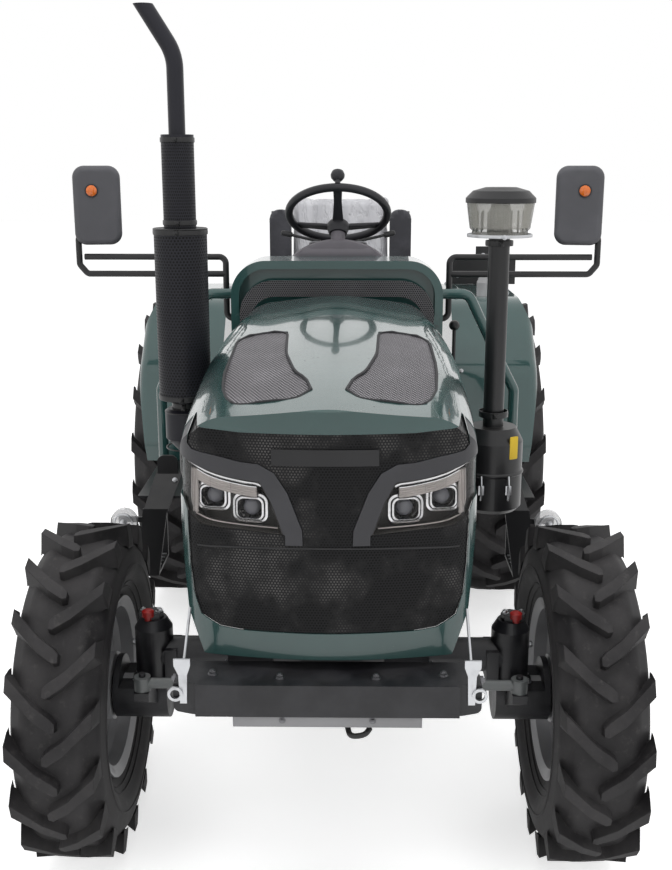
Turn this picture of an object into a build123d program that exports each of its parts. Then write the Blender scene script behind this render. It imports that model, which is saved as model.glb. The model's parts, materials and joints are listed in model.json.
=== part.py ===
from build123d import *
import os
from collections import namedtuple
from math import cos, radians, sin, sqrt

# Compact four-wheel-drive farm tractor. Millimetres, +X forward, +Y the driver's left, +Z up,
# origin on the ground in the middle of the whole machine.

# ---------------------------------------------------------------- driving sizes
wheelbase = 1795
front_overhang = 500            # bumper face ahead of the front axle
rear_overhang = 790             # lower link tips behind the rear axle

front_tyre_od = 820             # 7.50-16
front_tyre_width = 215
front_rim_od = 450
front_rim_width = 150
front_track = 1220
front_lug_height = 26
front_lug_width = 36
front_lugs = 17                 # on each side of the tread

rear_tyre_od = 1160             # 12.4-24
rear_tyre_width = 315
rear_rim_od = 655
rear_rim_width = 245
rear_track = 1190
rear_lug_height = 34
rear_lug_width = 44
rear_lugs = 19

hood_width = 642                # widest, half way back
hood_front_top = 1216
hood_rear_top = 1308
hood_bottom = 684
hood_skirt = 930                # lower edge of the sides behind the nose
hood_sheet = 4
nose_setback = 50               # nose behind the bumper face
hood_length = 1250

bumper_width = 633
bumper_height = 70
bumper_bottom = 590
bumper_depth = 115
latch_recess = 10               # set back of the bumper's face at each end
rail_gap = 280                  # between the two frame rails
rail_height = 110
rail_thickness = 40

axle_rise = 90                  # front axle beam above the wheels' centres
kingpin_offset = 445            # kingpin from the centre line
steer_arm = 170                 # tie rod ahead of the kingpin
tie_rod_diameter = 25

running_gap = 0.3               # between pieces that seat on or turn in each other
moving_gap = 6                  # between pieces that pass each other

# ---------------------------------------------------------------- main places
overall_length = front_overhang + wheelbase + rear_overhang
bumper_x = overall_length / 2
front_axle_x = bumper_x - front_overhang
rear_axle_x = front_axle_x - wheelbase
link_tip_x = -overall_length / 2
nose_x = bumper_x - nose_setback
hood_rear_x = nose_x - hood_length
front_wheel_z = sqrt((front_tyre_od / 2) ** 2 - (front_lug_width / 2) ** 2)     # stands on a lug's flat
rear_wheel_z = sqrt((rear_tyre_od / 2) ** 2 - (rear_lug_width / 2) ** 2)
axle_height = front_wheel_z + axle_rise
tie_rod_height = axle_height
rail_inner = rail_gap / 2
rail_outer = rail_inner + rail_thickness
rail_top = bumper_bottom + rail_height
bumper_top = bumper_bottom + bumper_height


# ---------------------------------------------------------------- helpers
def block(x0, x1, y0, y1, z0, z1):
    return Pos((x0 + x1) / 2, (y0 + y1) / 2, (z0 + z1) / 2) * Box(abs(x1 - x0), abs(y1 - y0), abs(z1 - z0))


def outline(points, radius=0):
    """A closed face through points, its corners rounded by one radius or a list of them."""
    if radius:
        return make_face(FilletPolyline(*points, radius=radius, close=True))
    return make_face(Polyline(*points, close=True))


def side_plate(points, y0, y1, radius=0):
    """Side outline of (x, z) points, as thick as from y0 to y1."""
    plane = Plane(origin=(0, y0, 0), x_dir=(1, 0, 0), z_dir=(0, -1, 0))
    return extrude(plane * outline(points, radius), amount=y1 - y0, dir=(0, 1, 0))


def front_plate(points, x0, x1, radius=0):
    """Front outline of (y, z) points, as thick as from x0 to x1."""
    plane = Plane(origin=(x0, 0, 0), x_dir=(0, 1, 0), z_dir=(1, 0, 0))
    return extrude(plane * outline(points, radius), amount=x1 - x0, dir=(1, 0, 0))


def flat_plate(points, z0, z1, radius=0):
    """Plan outline of (x, y) points, as thick as from z0 to z1."""
    plane = Plane(origin=(0, 0, z0), x_dir=(1, 0, 0), z_dir=(0, 0, 1))
    return extrude(plane * outline(points, radius), amount=z1 - z0, dir=(0, 0, 1))


def rod(start, end, radius):
    """A round bar from start to end."""
    axis = Vector(*end) - Vector(*start)
    plane = Plane(origin=start, z_dir=axis)
    return extrude(plane * Circle(radius), amount=axis.length)


def tube(points, radius, bend):
    """A round bar along straight runs joined by bends of one radius."""
    path = FilletPolyline(*points, radius=bend)
    start = Plane(origin=path @ 0, z_dir=path % 0)
    return sweep(start * Circle(radius), path=path)


def turned(points, radius=0):
    """A body turned about the Y axis from (radius, y) points."""
    return revolve(outline(points, radius), axis=Axis.Y)


def upright(points, x, y, radius=0):
    """A body turned about an upright axis at x, y from (radius, z) points."""
    plane = Plane(origin=(x, y, 0), x_dir=(1, 0, 0), z_dir=(0, -1, 0))
    return revolve(plane * outline(points, radius), axis=Axis((x, y, 0), (0, 0, 1)))


def across(shape):
    """The same shape on the other side of the tractor."""
    return mirror(shape, about=Plane.XZ)


def gathered(*shapes):
    """Separate solids kept together as one piece."""
    return Compound(children=[solid for shape in shapes for solid in shape.solids()])


def both(shape):
    """A shape and its mirror image, as solids that don't touch."""
    return Compound(children=[*shape.solids(), *across(shape).solids()])


# ---------------------------------------------------------------- wheels
tyre_wall = 16
bead_depth = 22                 # rim flange above the bead seat
rim_sheet = 6

Wheel = namedtuple("Wheel", "od width rim rim_width lug_height lug_width lugs dish hub_flange")

front_dish = -18                # disc from the tyre's middle, outward
rear_dish = -60
front_wheel = Wheel(front_tyre_od, front_tyre_width, front_rim_od, front_rim_width,
                    front_lug_height, front_lug_width, front_lugs, front_dish, 92)
rear_wheel = Wheel(rear_tyre_od, rear_tyre_width, rear_rim_od, rear_rim_width,
                   rear_lug_height, rear_lug_width, rear_lugs, rear_dish, 130)


def carcass(w):
    """The hollow casing of a tyre, open to the rim between its beads."""
    crown = w.od / 2 - w.lug_height
    seat = w.rim / 2 - bead_depth + running_gap
    half = w.width / 2
    bead = w.rim_width / 2 - rim_sheet - 1 - running_gap
    bulge = seat + 0.5 * (crown - seat)
    shoulder = crown - 0.2 * (crown - seat)
    side = [(seat, bead), (w.rim / 2 + 2, bead), (bulge, half), (shoulder, 0.93 * half), (crown, 0.6 * half)]
    rounds = [0, 12, 45, 30, 30]
    casing = outline([(r, -y) for r, y in side] + side[::-1], rounds + rounds[::-1])
    hollow = offset(casing, amount=-tyre_wall)
    mouth = Pos(seat, 0) * Rectangle(3 * tyre_wall, 2 * bead - 2.4 * tyre_wall)
    return revolve(casing - hollow - mouth, axis=Axis.Y)


def lug(w, side):
    """One slanted bar of the tread, from the shoulder to just past the middle, at the wheel's top."""
    tip = w.od / 2
    crown = tip - w.lug_height
    half = w.width / 2
    run = 0.87 * half
    Station = namedtuple("Station", "y lean foot drop width")
    stations = [Station(0.94 * half, -0.12 * run, crown - 34, 40, w.lug_width + 8),
                Station(0.90 * half, 0, crown - 26, 0, w.lug_width),
                Station(0.30 * half, 0.70 * run, crown - 14, 0, w.lug_width - 2),
                Station(-0.04 * half, 0.97 * run, crown - 8, 0, w.lug_width - 4),
                Station(-0.14 * half, 1.02 * run, crown - 8, 2, 0.5 * w.lug_width)]
    sections = []
    for s in stations:
        turn = s.lean / tip
        plane = Plane(origin=(0, s.y * side, 0), x_dir=(cos(turn), 0, -sin(turn)), z_dir=(0, -1, 0))
        half_top = s.width / 2
        half_foot = 1.24 * half_top
        top = sqrt(tip ** 2 - half_top ** 2) - s.drop
        sections.append(plane * outline([(-half_foot, s.foot), (half_foot, s.foot), (half_top, top),
                                         (-half_top, top)]))
    return loft(sections, ruled=True)


def tyre(w):
    """Casing with its two staggered rows of lugs."""
    body = carcass(w)
    step = 360 / w.lugs
    bars = []
    for i in range(w.lugs):
        bars.append(Rot(0, i * step, 0) * lug(w, 1))
        bars.append(Rot(0, (i + 0.5) * step, 0) * lug(w, -1))
    return body + bars


def rim(w):
    """Pressed rim with its dished disc, the hub seat to the inner side (-Y)."""
    flange = w.rim / 2
    seat = flange - bead_depth
    well = seat - 22
    half = w.rim_width / 2
    t = rim_sheet
    barrel = turned([(flange, -half - 4), (flange, -half + 2), (seat, -half + t + 1), (seat, -half + 42),
                     (well, -half + 56), (well, half - 56), (seat, half - 42), (seat, half - t - 1),
                     (flange, half - 2), (flange, half + 4), (flange - t, half + 4), (seat - t, half - t),
                     (seat - t, half - 40), (well - t, half - 56 - t), (well - t, -half + 56 + t),
                     (seat - t, -half + 40), (seat - t, -half + t), (flange - t, -half - 4)])
    bore = 0.42 * w.hub_flange
    disc = turned([(bore, w.dish), (w.hub_flange, w.dish), (well - 26, w.dish + 34), (well - 1, w.dish + 34),
                   (well - 1, w.dish + 44), (well - 30, w.dish + 44), (w.hub_flange - 3, w.dish + 10),
                   (bore, w.dish + 10)])
    windows = [Rot(0, i * 60, 0) * Pos(0.5 * (w.hub_flange + well - 20), w.dish + 20, 0)
               * Rot(90, 0, 0) * Cylinder(0.16 * (well - w.hub_flange) + 8, 90) for i in range(6)]
    return barrel + disc - windows


def rolling(shape, x, y, z):
    """Left and right copies of a wheel's piece; the tread points the same way on both."""
    left = Pos(x, y, z) * shape
    return left, across(left)


# ---------------------------------------------------------------- front end
latch_y = 295
skid_width = 390
skid_height = 26
skid_depth = 60


def front_frame():
    """Bumper box, two rails and the bolster that the axle hangs from, one casting."""
    half = bumper_width / 2
    back = bumper_x - bumper_depth
    box = front_plate([(-half, bumper_bottom + 8), (40 - half, bumper_bottom), (half - 40, bumper_bottom),
                       (half, bumper_bottom + 8), (half, bumper_top), (-half, bumper_top)],
                      back, bumper_x, [14, 60, 60, 14, 5, 5])
    rails = both(block(rail_rear_x, back, rail_inner, rail_outer, bumper_bottom, rail_top))
    recess = both(block(bumper_x - latch_recess, bumper_x + 1, latch_y - 24, half + 1, bumper_bottom - 1,
                        bumper_top + 1))
    bolster = block(front_axle_x - 75, front_axle_x + 75, -rail_inner, rail_inner, bumper_bottom, rail_top - 45)
    cheeks = both(block(back - 35, back, rail_inner - 20, 215, bumper_bottom, rail_top))
    return box + rails + bolster + cheeks - recess


def skid_plate():
    """Plain bar under the bumper."""
    low = bumper_bottom - running_gap - skid_height
    return block(bumper_x - 8 - skid_depth, bumper_x - 8, -skid_width / 2, skid_width / 2, low,
                 bumper_bottom - running_gap)


def axle_beam():
    """Front axle: gear case, two tubes, square end flanges and upright end cases."""
    case = rod((front_axle_x, -75, axle_height), (front_axle_x, 75, axle_height), 88)
    tubes = rod((front_axle_x, -kingpin_offset, axle_height), (front_axle_x, kingpin_offset, axle_height), 42)
    nose = rod((front_axle_x - 170, 0, axle_height - 20), (front_axle_x, 0, axle_height - 20), 52)
    saddle = block(front_axle_x - 70, front_axle_x + 70, -70, 70, axle_height, bumper_bottom)
    flange = block(front_axle_x - 48, front_axle_x + 48, kingpin_offset - 62, kingpin_offset - 32,
                   axle_height - 58, axle_height + 26)
    case_end = upright([(0, case_bottom), (end_case_radius, case_bottom), (end_case_radius, case_top - 24),
                        (end_case_radius - 14, case_top), (0, case_top)], front_axle_x, kingpin_offset)
    cap = Pos(front_axle_x, kingpin_offset, case_top + 6) * extrude(RegularPolygon(26, 8), amount=9, both=True)
    socket = rod((front_axle_x, kingpin_offset, case_bottom - 1),
                 (front_axle_x, kingpin_offset, case_bottom + 60),
                 kingpin_radius + running_gap)
    ends = flange + case_end + cap
    beam = case + tubes + nose + saddle + ends + across(ends)
    return beam - socket - across(socket)


end_case_radius = 47
kingpin_radius = 24
case_bottom = front_wheel_z + 32
case_top = axle_height + 96
hub_shaft_radius = 30
hub_engagement = 40             # how far the wheel's shaft runs in the knuckle
drum_radius = 78
drum_inner = 40                 # inner face of the knuckle's drum, inboard of the kingpin
drum_outer = 95                 # its outer face, outboard of the kingpin


def knuckle():
    """Left knuckle: gear drum on the wheel's axis, kingpin stub above and steering arm ahead."""
    x, y = front_axle_x, kingpin_offset
    drum = rod((x, y - drum_inner, front_wheel_z), (x, y + drum_outer, front_wheel_z), drum_radius)
    trim = block(x - 100, x + 100, y - 80, y + 80, case_bottom - moving_gap, case_bottom + 200)
    neck = upright([(0, front_wheel_z), (end_case_radius - 4, front_wheel_z),
                    (end_case_radius - 4, case_bottom - running_gap), (0, case_bottom - running_gap)], x, y)
    stub = rod((x, y, front_wheel_z), (x, y, case_bottom + 50), kingpin_radius)
    low = case_bottom - 40
    high = tie_rod_height - tie_rod_eye / 2 - running_gap
    arm = side_plate([(x + 20, low), (x + 80, low), (x + steer_arm + 22, high - 20), (x + steer_arm + 22, high),
                      (x + steer_arm - 40, high), (x + 90, case_bottom - moving_gap),
                      (x + 20, case_bottom - moving_gap)], y - 18, y + 18)
    pin = rod((x + steer_arm, y, high - 5), (x + steer_arm, y, tie_rod_height + tie_rod_eye / 2 + 8), 8)
    bore = rod((x, y + drum_outer - hub_engagement - 2, front_wheel_z), (x, y + drum_outer + 1, front_wheel_z),
               hub_shaft_radius + running_gap)
    return (drum - trim) + neck + stub + arm + pin - bore


tie_rod_eye = 34


def tie_rod():
    """Rod between the two steering arms, with a turned eye at each pin."""
    x = front_axle_x + steer_arm
    bar = rod((x, -kingpin_offset, tie_rod_height), (x, kingpin_offset, tie_rod_height), tie_rod_diameter / 2)
    eye = upright([(0, tie_rod_height - tie_rod_eye / 2), (20, tie_rod_height - tie_rod_eye / 2),
                   (20, tie_rod_height + tie_rod_eye / 2), (0, tie_rod_height + tie_rod_eye / 2)],
                  x, kingpin_offset)
    hole = rod((x, kingpin_offset, tie_rod_height - tie_rod_eye),
               (x, kingpin_offset, tie_rod_height + tie_rod_eye),
               8 + running_gap)
    return bar + eye + across(eye) - hole - across(hole)


def front_hub():
    """Hub that turns in the knuckle and carries the rim's disc."""
    face = front_track / 2 + front_dish
    inner = kingpin_offset + drum_outer
    y0 = inner - hub_engagement - front_track / 2
    y1 = inner + moving_gap - front_track / 2
    y2 = front_dish
    y3 = front_dish + 46
    return turned([(0, y0), (hub_shaft_radius, y0), (hub_shaft_radius, y1), (84, y1), (84, y2),
                   (36, y2), (36, y3 - 8), (28, y3), (0, y3)])


# ---------------------------------------------------------------- engine bay
engine_front_x = 935
engine_length = 520
engine_rear_x = engine_front_x - engine_length
rail_rear_x = engine_front_x - 130
engine_width = 2 * rail_inner
crank_height = 735
pan_bottom = 498
pan_step_x = 845
fan_height = 890
deck_height = fan_height + 50   # top face of the cylinder block
head_height = 90
rocker_height = 65
fan_radius = 185
radiator_x = 1130
radiator_depth = 55
radiator_width = 430
radiator_top = 1130
shroud_depth = 45
fan_x = radiator_x - shroud_depth - 25


def engine():
    """Upright diesel: block, oil pan, head, rocker cover, front cover, pulleys and its side fittings."""
    half = engine_width / 2
    body = block(engine_rear_x, engine_front_x, -half, half, 600, deck_height)
    deep = front_plate([(-half + 8, 600), (half - 8, 600), (half - 30, 520), (half - 60, pan_bottom),
                        (60 - half, pan_bottom), (30 - half, 520)], engine_rear_x + 20, engine_front_x - 20)
    pan = deep - block(pan_step_x, engine_front_x, -half, half, pan_bottom - 1, 556)
    head = block(engine_rear_x + 10, engine_front_x - 10, -105, 105, deck_height, deck_height + head_height)
    cover = block(engine_rear_x + 25, engine_front_x - 25, -70, 70, deck_height + head_height,
                  deck_height + head_height + rocker_height)
    cover_top = deck_height + head_height + rocker_height
    gear_cover = block(engine_front_x, engine_front_x + 25, -130, 130, 610, deck_height)
    pulley = rod((engine_front_x + 25, 0, crank_height), (engine_front_x + 55, 0, crank_height),
                 crank_pulley.radius)
    water_pump = rod((engine_front_x + 25, 0, fan_height), (engine_front_x + 52, 0, fan_height),
                     pump_pulley.radius)
    pump_shaft = rod((engine_front_x + 52, 0, fan_height), (fan_x + 30, 0, fan_height), 12)
    ribs = [block(x - 7, x + 7, -62, 62, cover_top - 1, cover_top + 8) for x in range(480, 900, 70)]
    filler = rod((445 + 30, -30, cover_top), (445 + 30, -30, cover_top + 30), 24)
    return body + pan + head + cover + gear_cover + pulley + water_pump + pump_shaft + ribs + filler


def fan():
    """Six blades on a hub."""
    x0 = fan_x
    hub = rod((x0, 0, fan_height), (x0 + 36, 0, fan_height), 46)
    bore = rod((x0 - 1, 0, fan_height), (x0 + 48, 0, fan_height), 12 + running_gap)
    blade = Pos(x0 + 18, 0, fan_height) * (Pos(0, 0, 40 + (fan_radius - 40) / 2)
                                          * Rot(0, 0, 28) * Box(4, 62, fan_radius - 40))
    blades = [Pos(0, 0, fan_height) * Rot(i * 60, 0, 0) * Pos(0, 0, -fan_height) * blade for i in range(6)]
    return hub + blades - bore


def radiator():
    """Core with top and bottom tanks, side straps and a round shroud behind."""
    half = radiator_width / 2
    core = block(radiator_x, radiator_x + radiator_depth, -half, half, rail_top, radiator_top)
    tank = block(radiator_x - 6, radiator_x + radiator_depth + 6, -half - 6, half + 6,
                 radiator_top - 70, radiator_top)
    foot = block(radiator_x - 6, radiator_x + radiator_depth + 6, -half - 6, half + 6, rail_top, rail_top + 50)
    shroud = block(radiator_x - shroud_depth, radiator_x, -half, half, rail_top + 10, radiator_top - 10)
    mouth = rod((radiator_x - shroud_depth - 1, 0, fan_height), (radiator_x - 4, 0, fan_height),
                fan_radius + moving_gap + 4)
    cap = upright([(0, radiator_top), (26, radiator_top), (26, radiator_top + 18), (0, radiator_top + 18)],
                  radiator_x + radiator_depth / 2, -90)
    return core + tank + foot + (shroud - mouth) + cap


def battery():
    """Starter battery on its tray ahead of the radiator."""
    case = block(1260, 1390, -130, 130, rail_top + 12, rail_top + 200)
    tray = block(1245, 1405, -185, 185, rail_top, rail_top + 12)
    posts = both(upright([(0, rail_top + 200), (9, rail_top + 200), (9, rail_top + 218), (0, rail_top + 218)],
                         1300, 95))
    return case + tray + posts


Pulley = namedtuple("Pulley", "y z radius")
crank_pulley = Pulley(0, crank_height, 62)
pump_pulley = Pulley(0, fan_height, 48)
alternator_pulley = Pulley(-202, 840, 32)
belt_thickness = 8
hose_radius = 16
hose_out = 250                  # lower hose from the centre line


def belt():
    """Drive belt round the crank, pump and alternator pulleys."""
    def loop(extra):
        pulleys = (crank_pulley, pump_pulley, alternator_pulley)
        rings = [Pos(p.y, p.z) * Circle(p.radius + extra) for p in pulleys]
        plane = Plane(origin=(engine_front_x + 31, 0, 0), x_dir=(0, 1, 0), z_dir=(1, 0, 0))
        return extrude(plane * make_hull([ring.edge() for ring in rings]), amount=18, dir=(1, 0, 0))
    return loop(running_gap + belt_thickness) - loop(running_gap)


manifold_start = engine_rear_x + 60
manifold_end = engine_front_x - 60
manifold_side = 105 + running_gap       # the head's flank
exhaust_port_z = 982
starter_z = 700
starter_radius = 42
filter_x = 520
injection_pump_z = 830          # its top
line_loop_z = 1055
line_spots = (612, 638, 742, 768)


def exhaust_side():
    """Exhaust manifold with its down pipe, the starter and the alternator."""
    half = engine_width / 2
    z = exhaust_port_z
    manifold = block(manifold_start, manifold_end, -150, -manifold_side, z - 27, z + 28)
    outlet = tube([(exhaust_x, -150, z), (exhaust_x, -250, z), (exhaust_x, -250, 850),
                   (exhaust_x, exhaust_y, 850), (exhaust_x, exhaust_y, can_bottom - running_gap)], 21, 34)
    side = -half - starter_radius - 20
    starter = rod((engine_rear_x + 4, side, starter_z), (engine_rear_x + 220, side, starter_z), starter_radius)
    starter_lug = block(engine_rear_x + 40, engine_rear_x + 140, -half - 40, -half - running_gap,
                        starter_z - 20, starter_z + 20)
    y, z = alternator_pulley.y, alternator_pulley.z
    alternator = rod((845, y, z), (955, y, z), 52) + rod((955, y, z), (988, y, z), alternator_pulley.radius)
    bracket = block(870, 920, -half - 40, -half - running_gap, z - 20, z + 20)
    return gathered(manifold + outlet, starter + starter_lug, alternator + bracket)


def intake_side():
    """Intake manifold, injection pump with its lines and the oil filter."""
    half = engine_width / 2
    head_top = deck_height + head_height
    manifold = block(manifold_start, manifold_end, manifold_side, 160, 950, 1015)
    top = injection_pump_z
    pump = block(600, 790, half + running_gap, half + 75, top - 90, top)
    lines = [tube([(x, 185, top), (x, 185, line_loop_z), (x, 88, line_loop_z), (x, 88, head_top + running_gap)],
                  3.5, 16) for x in line_spots]
    filter_can = rod((filter_x, half + 50, 640), (filter_x, half + 50, 760), 42)
    filter_head = block(filter_x - 40, filter_x + 40, half + running_gap, half + 92, 760, 790)
    return gathered(manifold, pump + lines, filter_head + filter_can)


def hoses():
    """Upper and lower coolant hoses between the engine and the radiator's tanks."""
    head_top = deck_height + head_height
    x0, x1 = 900, radiator_x + radiator_depth / 2
    upper = tube([(x1, 88, radiator_top + running_gap), (x1, 88, 1175), (x0, 88, 1175),
                  (x0, 88, head_top + running_gap)], hose_radius, 38)
    tank_side = radiator_width / 2 + 6 + running_gap
    lower = tube([(x0, engine_width / 2 + running_gap, crank_height), (x0, hose_out, crank_height),
                  (x1, hose_out, crank_height), (x1, tank_side, crank_height)], hose_radius, 24)
    return gathered(upper, lower)


tank_x = 165


def fuel_tank():
    """Fuel tank between the engine and the cowl."""
    body = block(tank_x, tank_x + 200, -200, 200, 985, 1215)
    stand = both(block(tank_x + 115, tank_x + 190, 60, 80, bell_top, 985))
    return body + stand


# ---------------------------------------------------------------- hood
hood_rear_width = 600
hood_nose_width = 608
hood_middle_x = 850
hood_middle_top = 1287
nose_corner = 90
nose_sweep = 1000
nose_rake = 62                  # nose centre ahead of its corners
hood_edge_round = 58
hood_side_play = 1.5            # the plan outline stands this far outside the nose
lip_tuck = 46                   # the flank's lower edge, inboard of the widest part
skirt_tuck = 13
skirt_rise = 90                 # corners of the flank above the lower edge
waist_rise = 250
shoulder_drop = 95              # corners of the shoulder under the top line
crown_in = 62
crown_drop = 30
shoulder_round = 70
crown_round = 110
hinge_drop = 92                 # hinge pin under the hood's rear edge
hood_hinge_x = hood_rear_x + 8
hood_hinge_z = hood_rear_top - hinge_drop
hinge_pin_radius = 7
hinge_bar_depth = 8
band_depth = 7


def hood_hinge():
    """Bar across the cowl's front lip with two ears and pins that the hood swings on."""
    bar = block(cowl_front, cowl_front + hinge_bar_depth, -320, 320, hood_hinge_z - 15, hood_hinge_z + 15)
    ear = block(cowl_front + hinge_bar_depth, hood_hinge_x + 14, 214, 221, hood_hinge_z - 12, hood_hinge_z + 12)
    pin = rod((hood_hinge_x, 221, hood_hinge_z), (hood_hinge_x, 236, hood_hinge_z), hinge_pin_radius)
    arm = ear + pin
    return bar + arm + across(arm)


def hood_form(inset):
    """The outer body of the hood, or the same body drawn in by inset on every outer side."""
    rear = hood_rear_x - (20 if inset else 0)
    low = hood_bottom - (20 if inset else 0)
    front = nose_x - inset
    Section = namedtuple("Section", "x half top")
    sections = []
    for s in (Section(rear, hood_rear_width / 2, hood_rear_top),
              Section(hood_middle_x, hood_width / 2, hood_middle_top),
              Section(front + 30, hood_nose_width / 2, hood_front_top)):
        half = s.half - inset
        top = s.top - inset
        flank = [(half - lip_tuck, low), (half - skirt_tuck, hood_bottom + skirt_rise),
                 (half, hood_bottom + waist_rise), (half, top - shoulder_drop),
                 (half - crown_in, top - crown_drop), (0, top)]
        shape = flank + [(-y, z) for y, z in reversed(flank[:-1])]
        plane = Plane(origin=(s.x, 0, 0), x_dir=(0, 1, 0), z_dir=(1, 0, 0))
        rounds = [0, 60, 300, shoulder_round - inset, crown_round - inset]
        sections.append(plane * outline(shape, rounds + [600] + rounds[::-1]))
    body = loft(sections)
    side = hood_nose_width / 2 + 5 - inset + hood_side_play
    wide = hood_width / 2 + 40
    plan = [(rear - 1, -wide), (front - nose_rake, -side), (front, 0), (front - nose_rake, side),
            (rear - 1, wide)]
    plan_body = flat_plate(plan, low - 10, hood_rear_top + 50,
                           [0, nose_corner - inset, nose_sweep, nose_corner - inset, 0])
    side_body = side_plate([(rear - 1, low - 5), (front, low - 5), (front, hood_front_top - inset + 6),
                            (rear - 1, hood_rear_top - inset + 80)], -wide, wide,
                           [0, 0, hood_edge_round - inset, 0])
    return body & plan_body & side_body


def hood_shell():
    """The whole sheet of the hood, open below and behind, its sides cut away behind the nose."""
    shell = hood_form(0) - hood_form(hood_sheet)
    away = side_plate([(hood_rear_x - 30, hood_bottom - 40), (nose_x - 160, hood_bottom - 40),
                       (nose_x - 160, hood_bottom), (nose_x - 290, hood_skirt - 40), (nose_x - 350, hood_skirt),
                       (hood_rear_x - 30, hood_skirt)], -hood_width, hood_width)
    return shell - away


# outlines on the nose seen from ahead, left half, as (y, z) points
grille_outline = [(0, 1169), (177, 1170), (255, 1176), (283, 1184), (293, 1100), (293, 985),
                  (290, 880), (284, 820), (268, 772), (227, 749), (184, 744), (0, 742)]
lamp_outline = [(340, 1121), (340, 1030), (302, 1017), (290, 988), (262, 970), (223, 965), (181, 964),
                (90, 956), (115, 1026), (138, 1068), (203, 1075), (280, 1099), (305, 1107)]
brow_outline = [(340, 1206), (300, 1196), (286, 1186), (288, 1138), (278, 1128), (229, 1120), (178, 1109),
                (140, 1106), (107, 1088), (81, 1047), (51, 967), (50, 934), (88, 934), (88, 956),
                (200, 1000), (340, 1050)]
vent_outline = [(1390, 62), (1340, 37), (1270, 46), (1210, 77), (1040, 107), (800, 115), (780, 183),
                (825, 243), (1100, 243), (1270, 231), (1345, 214), (1390, 190)]
panel_gap = 1
lamp_depth = 40
zone_rear = nose_x - 169
zone_front = nose_x + 40


def zone(points, gap=0, mirrored=False):
    """Everything behind an outline on the nose, drawn in by gap; a mirrored outline closes on its own image."""
    whole = points + [(-y, z) for y, z in points[-2:0:-1]] if mirrored else points
    face = outline(whole)
    if gap:
        face = offset(face, amount=-gap)
    plane = Plane(origin=(zone_rear, 0, 0), x_dir=(0, 1, 0), z_dir=(1, 0, 0))
    return extrude(plane * face, amount=zone_front - zone_rear, dir=(1, 0, 0))


def vent_zone(gap=0):
    """The room over one of the two vents in the hood's top."""
    face = outline(vent_outline, [22, 22, 30, 30, 30, 14, 20, 20, 30, 30, 24, 24])
    if gap:
        face = offset(face, amount=-gap)
    return extrude(Pos(0, 0, hood_front_top - 60) * face, amount=200)


def hood_parts():
    """Hood sheet, grille, brow trim, lamps and top vents, cut from one body so that they fit."""
    ear_x, ear_z = hood_hinge_x, hood_hinge_z
    ear = side_plate([(ear_x - 16, ear_z - 16), (ear_x + 16, ear_z - 16), (ear_x + 60, ear_z + 90),
                      (ear_x - 16, ear_z + 90)], 224, 230) & hood_form(hood_sheet / 2)
    eye = rod((ear_x, 200, ear_z), (ear_x, 260, ear_z), hinge_pin_radius + running_gap)
    ears = ear - eye
    lamp_room = zone(lamp_outline)
    brow_room = zone(brow_outline)
    nose = zone(grille_outline, mirrored=True) + lamp_room + across(lamp_room) + brow_room + across(brow_room)
    vents = vent_zone()
    hood = hood_shell() - nose - vents - across(vents) + ears + across(ears)
    skin = hood_form(3) - hood_form(7)
    grille = (skin & zone(grille_outline, panel_gap, mirrored=True)) - lamp_room - across(lamp_room) \
        - brow_room - across(brow_room)
    brows = ((hood_form(1) - hood_form(9)) & zone(brow_outline, panel_gap)) - lamp_room
    lamp = (hood_form(hood_sheet) - hood_form(hood_sheet + lamp_depth)) & zone(lamp_outline, panel_gap)
    mesh = (hood_form(2) - hood_form(5)) & vent_zone(panel_gap)
    return hood, grille, brows + across(brows), lamp, across(lamp), mesh


latch_foot = 617
latch_head = 715
catch = (1434, 291, 784)        # where the latch's rod meets the hood's lip


def latch():
    """Toggle latch at the bumper's left end: plate with a broad head, ring and the rod to the hood's lip."""
    x, y = bumper_x - latch_recess + running_gap, latch_y
    neck, head = latch_head - 35, latch_head - 15
    plate = front_plate([(y - 7, latch_foot), (y + 7, latch_foot), (y + 9, neck), (y + 18, head),
                         (y + 18, latch_head), (y - 16, latch_head), (y - 16, head), (y - 9, neck)], x, x + 5)
    bar = rod((x + 3, y - 3, latch_head - 9), catch, 3)
    ring = Pos(x + 6, y + 16, latch_foot + 22) * Rot(0, 90, 0) * (Cylinder(16, 6) - Cylinder(10, 8))
    return plate + bar + ring


# ---------------------------------------------------------------- exhaust and intake
exhaust_x = front_axle_x - 350
exhaust_y = -400
guard_bottom = 1081
can_top = 1053
can_bottom = 937
can_radius = 56
muffler_neck = 34
muffler_radius = 69
muffler_top = 1530
upper_guard_radius = 42
upper_guard_top = 1765
pipe_radius = 21.5
pipe_top = 2080
guard_sheet = 3


def muffler():
    """Can with a cone below, and the two guard tubes that stand on it round the tail pipe."""
    r, s = muffler_radius, upper_guard_radius
    return upright([(0, can_bottom), (24, can_bottom), (can_radius, can_bottom + 35), (can_radius, can_top - 6),
                    (can_radius - 8, can_top), (muffler_neck, can_top), (muffler_neck, guard_bottom),
                    (r, guard_bottom), (r, muffler_top), (s, muffler_top), (s, upper_guard_top),
                    (s - guard_sheet, upper_guard_top), (s - guard_sheet, muffler_top - 8),
                    (0, muffler_top - 8)], exhaust_x, exhaust_y)


def exhaust_pipe():
    """Tail pipe out of the upper guard, its end bent outboard and cut level."""
    low = muffler_top - 8 + running_gap
    path = [(exhaust_x, exhaust_y, low), (exhaust_x, exhaust_y, 1960), (exhaust_x - 10, exhaust_y - 95, 2110)]
    pipe = tube(path, pipe_radius, 120) - tube(path, pipe_radius - 3, 120)
    return pipe - block(exhaust_x - 100, exhaust_x + 100, exhaust_y - 250, exhaust_y + 100, pipe_top,
                        pipe_top + 100)


cleaner_y = 430
cleaner_bottom = 776
cleaner_top = 1006
cleaner_radius = 81.5
clamp_z = 884                   # band round the canister
intake_radius = 27.5
intake_top = 1510


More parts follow.
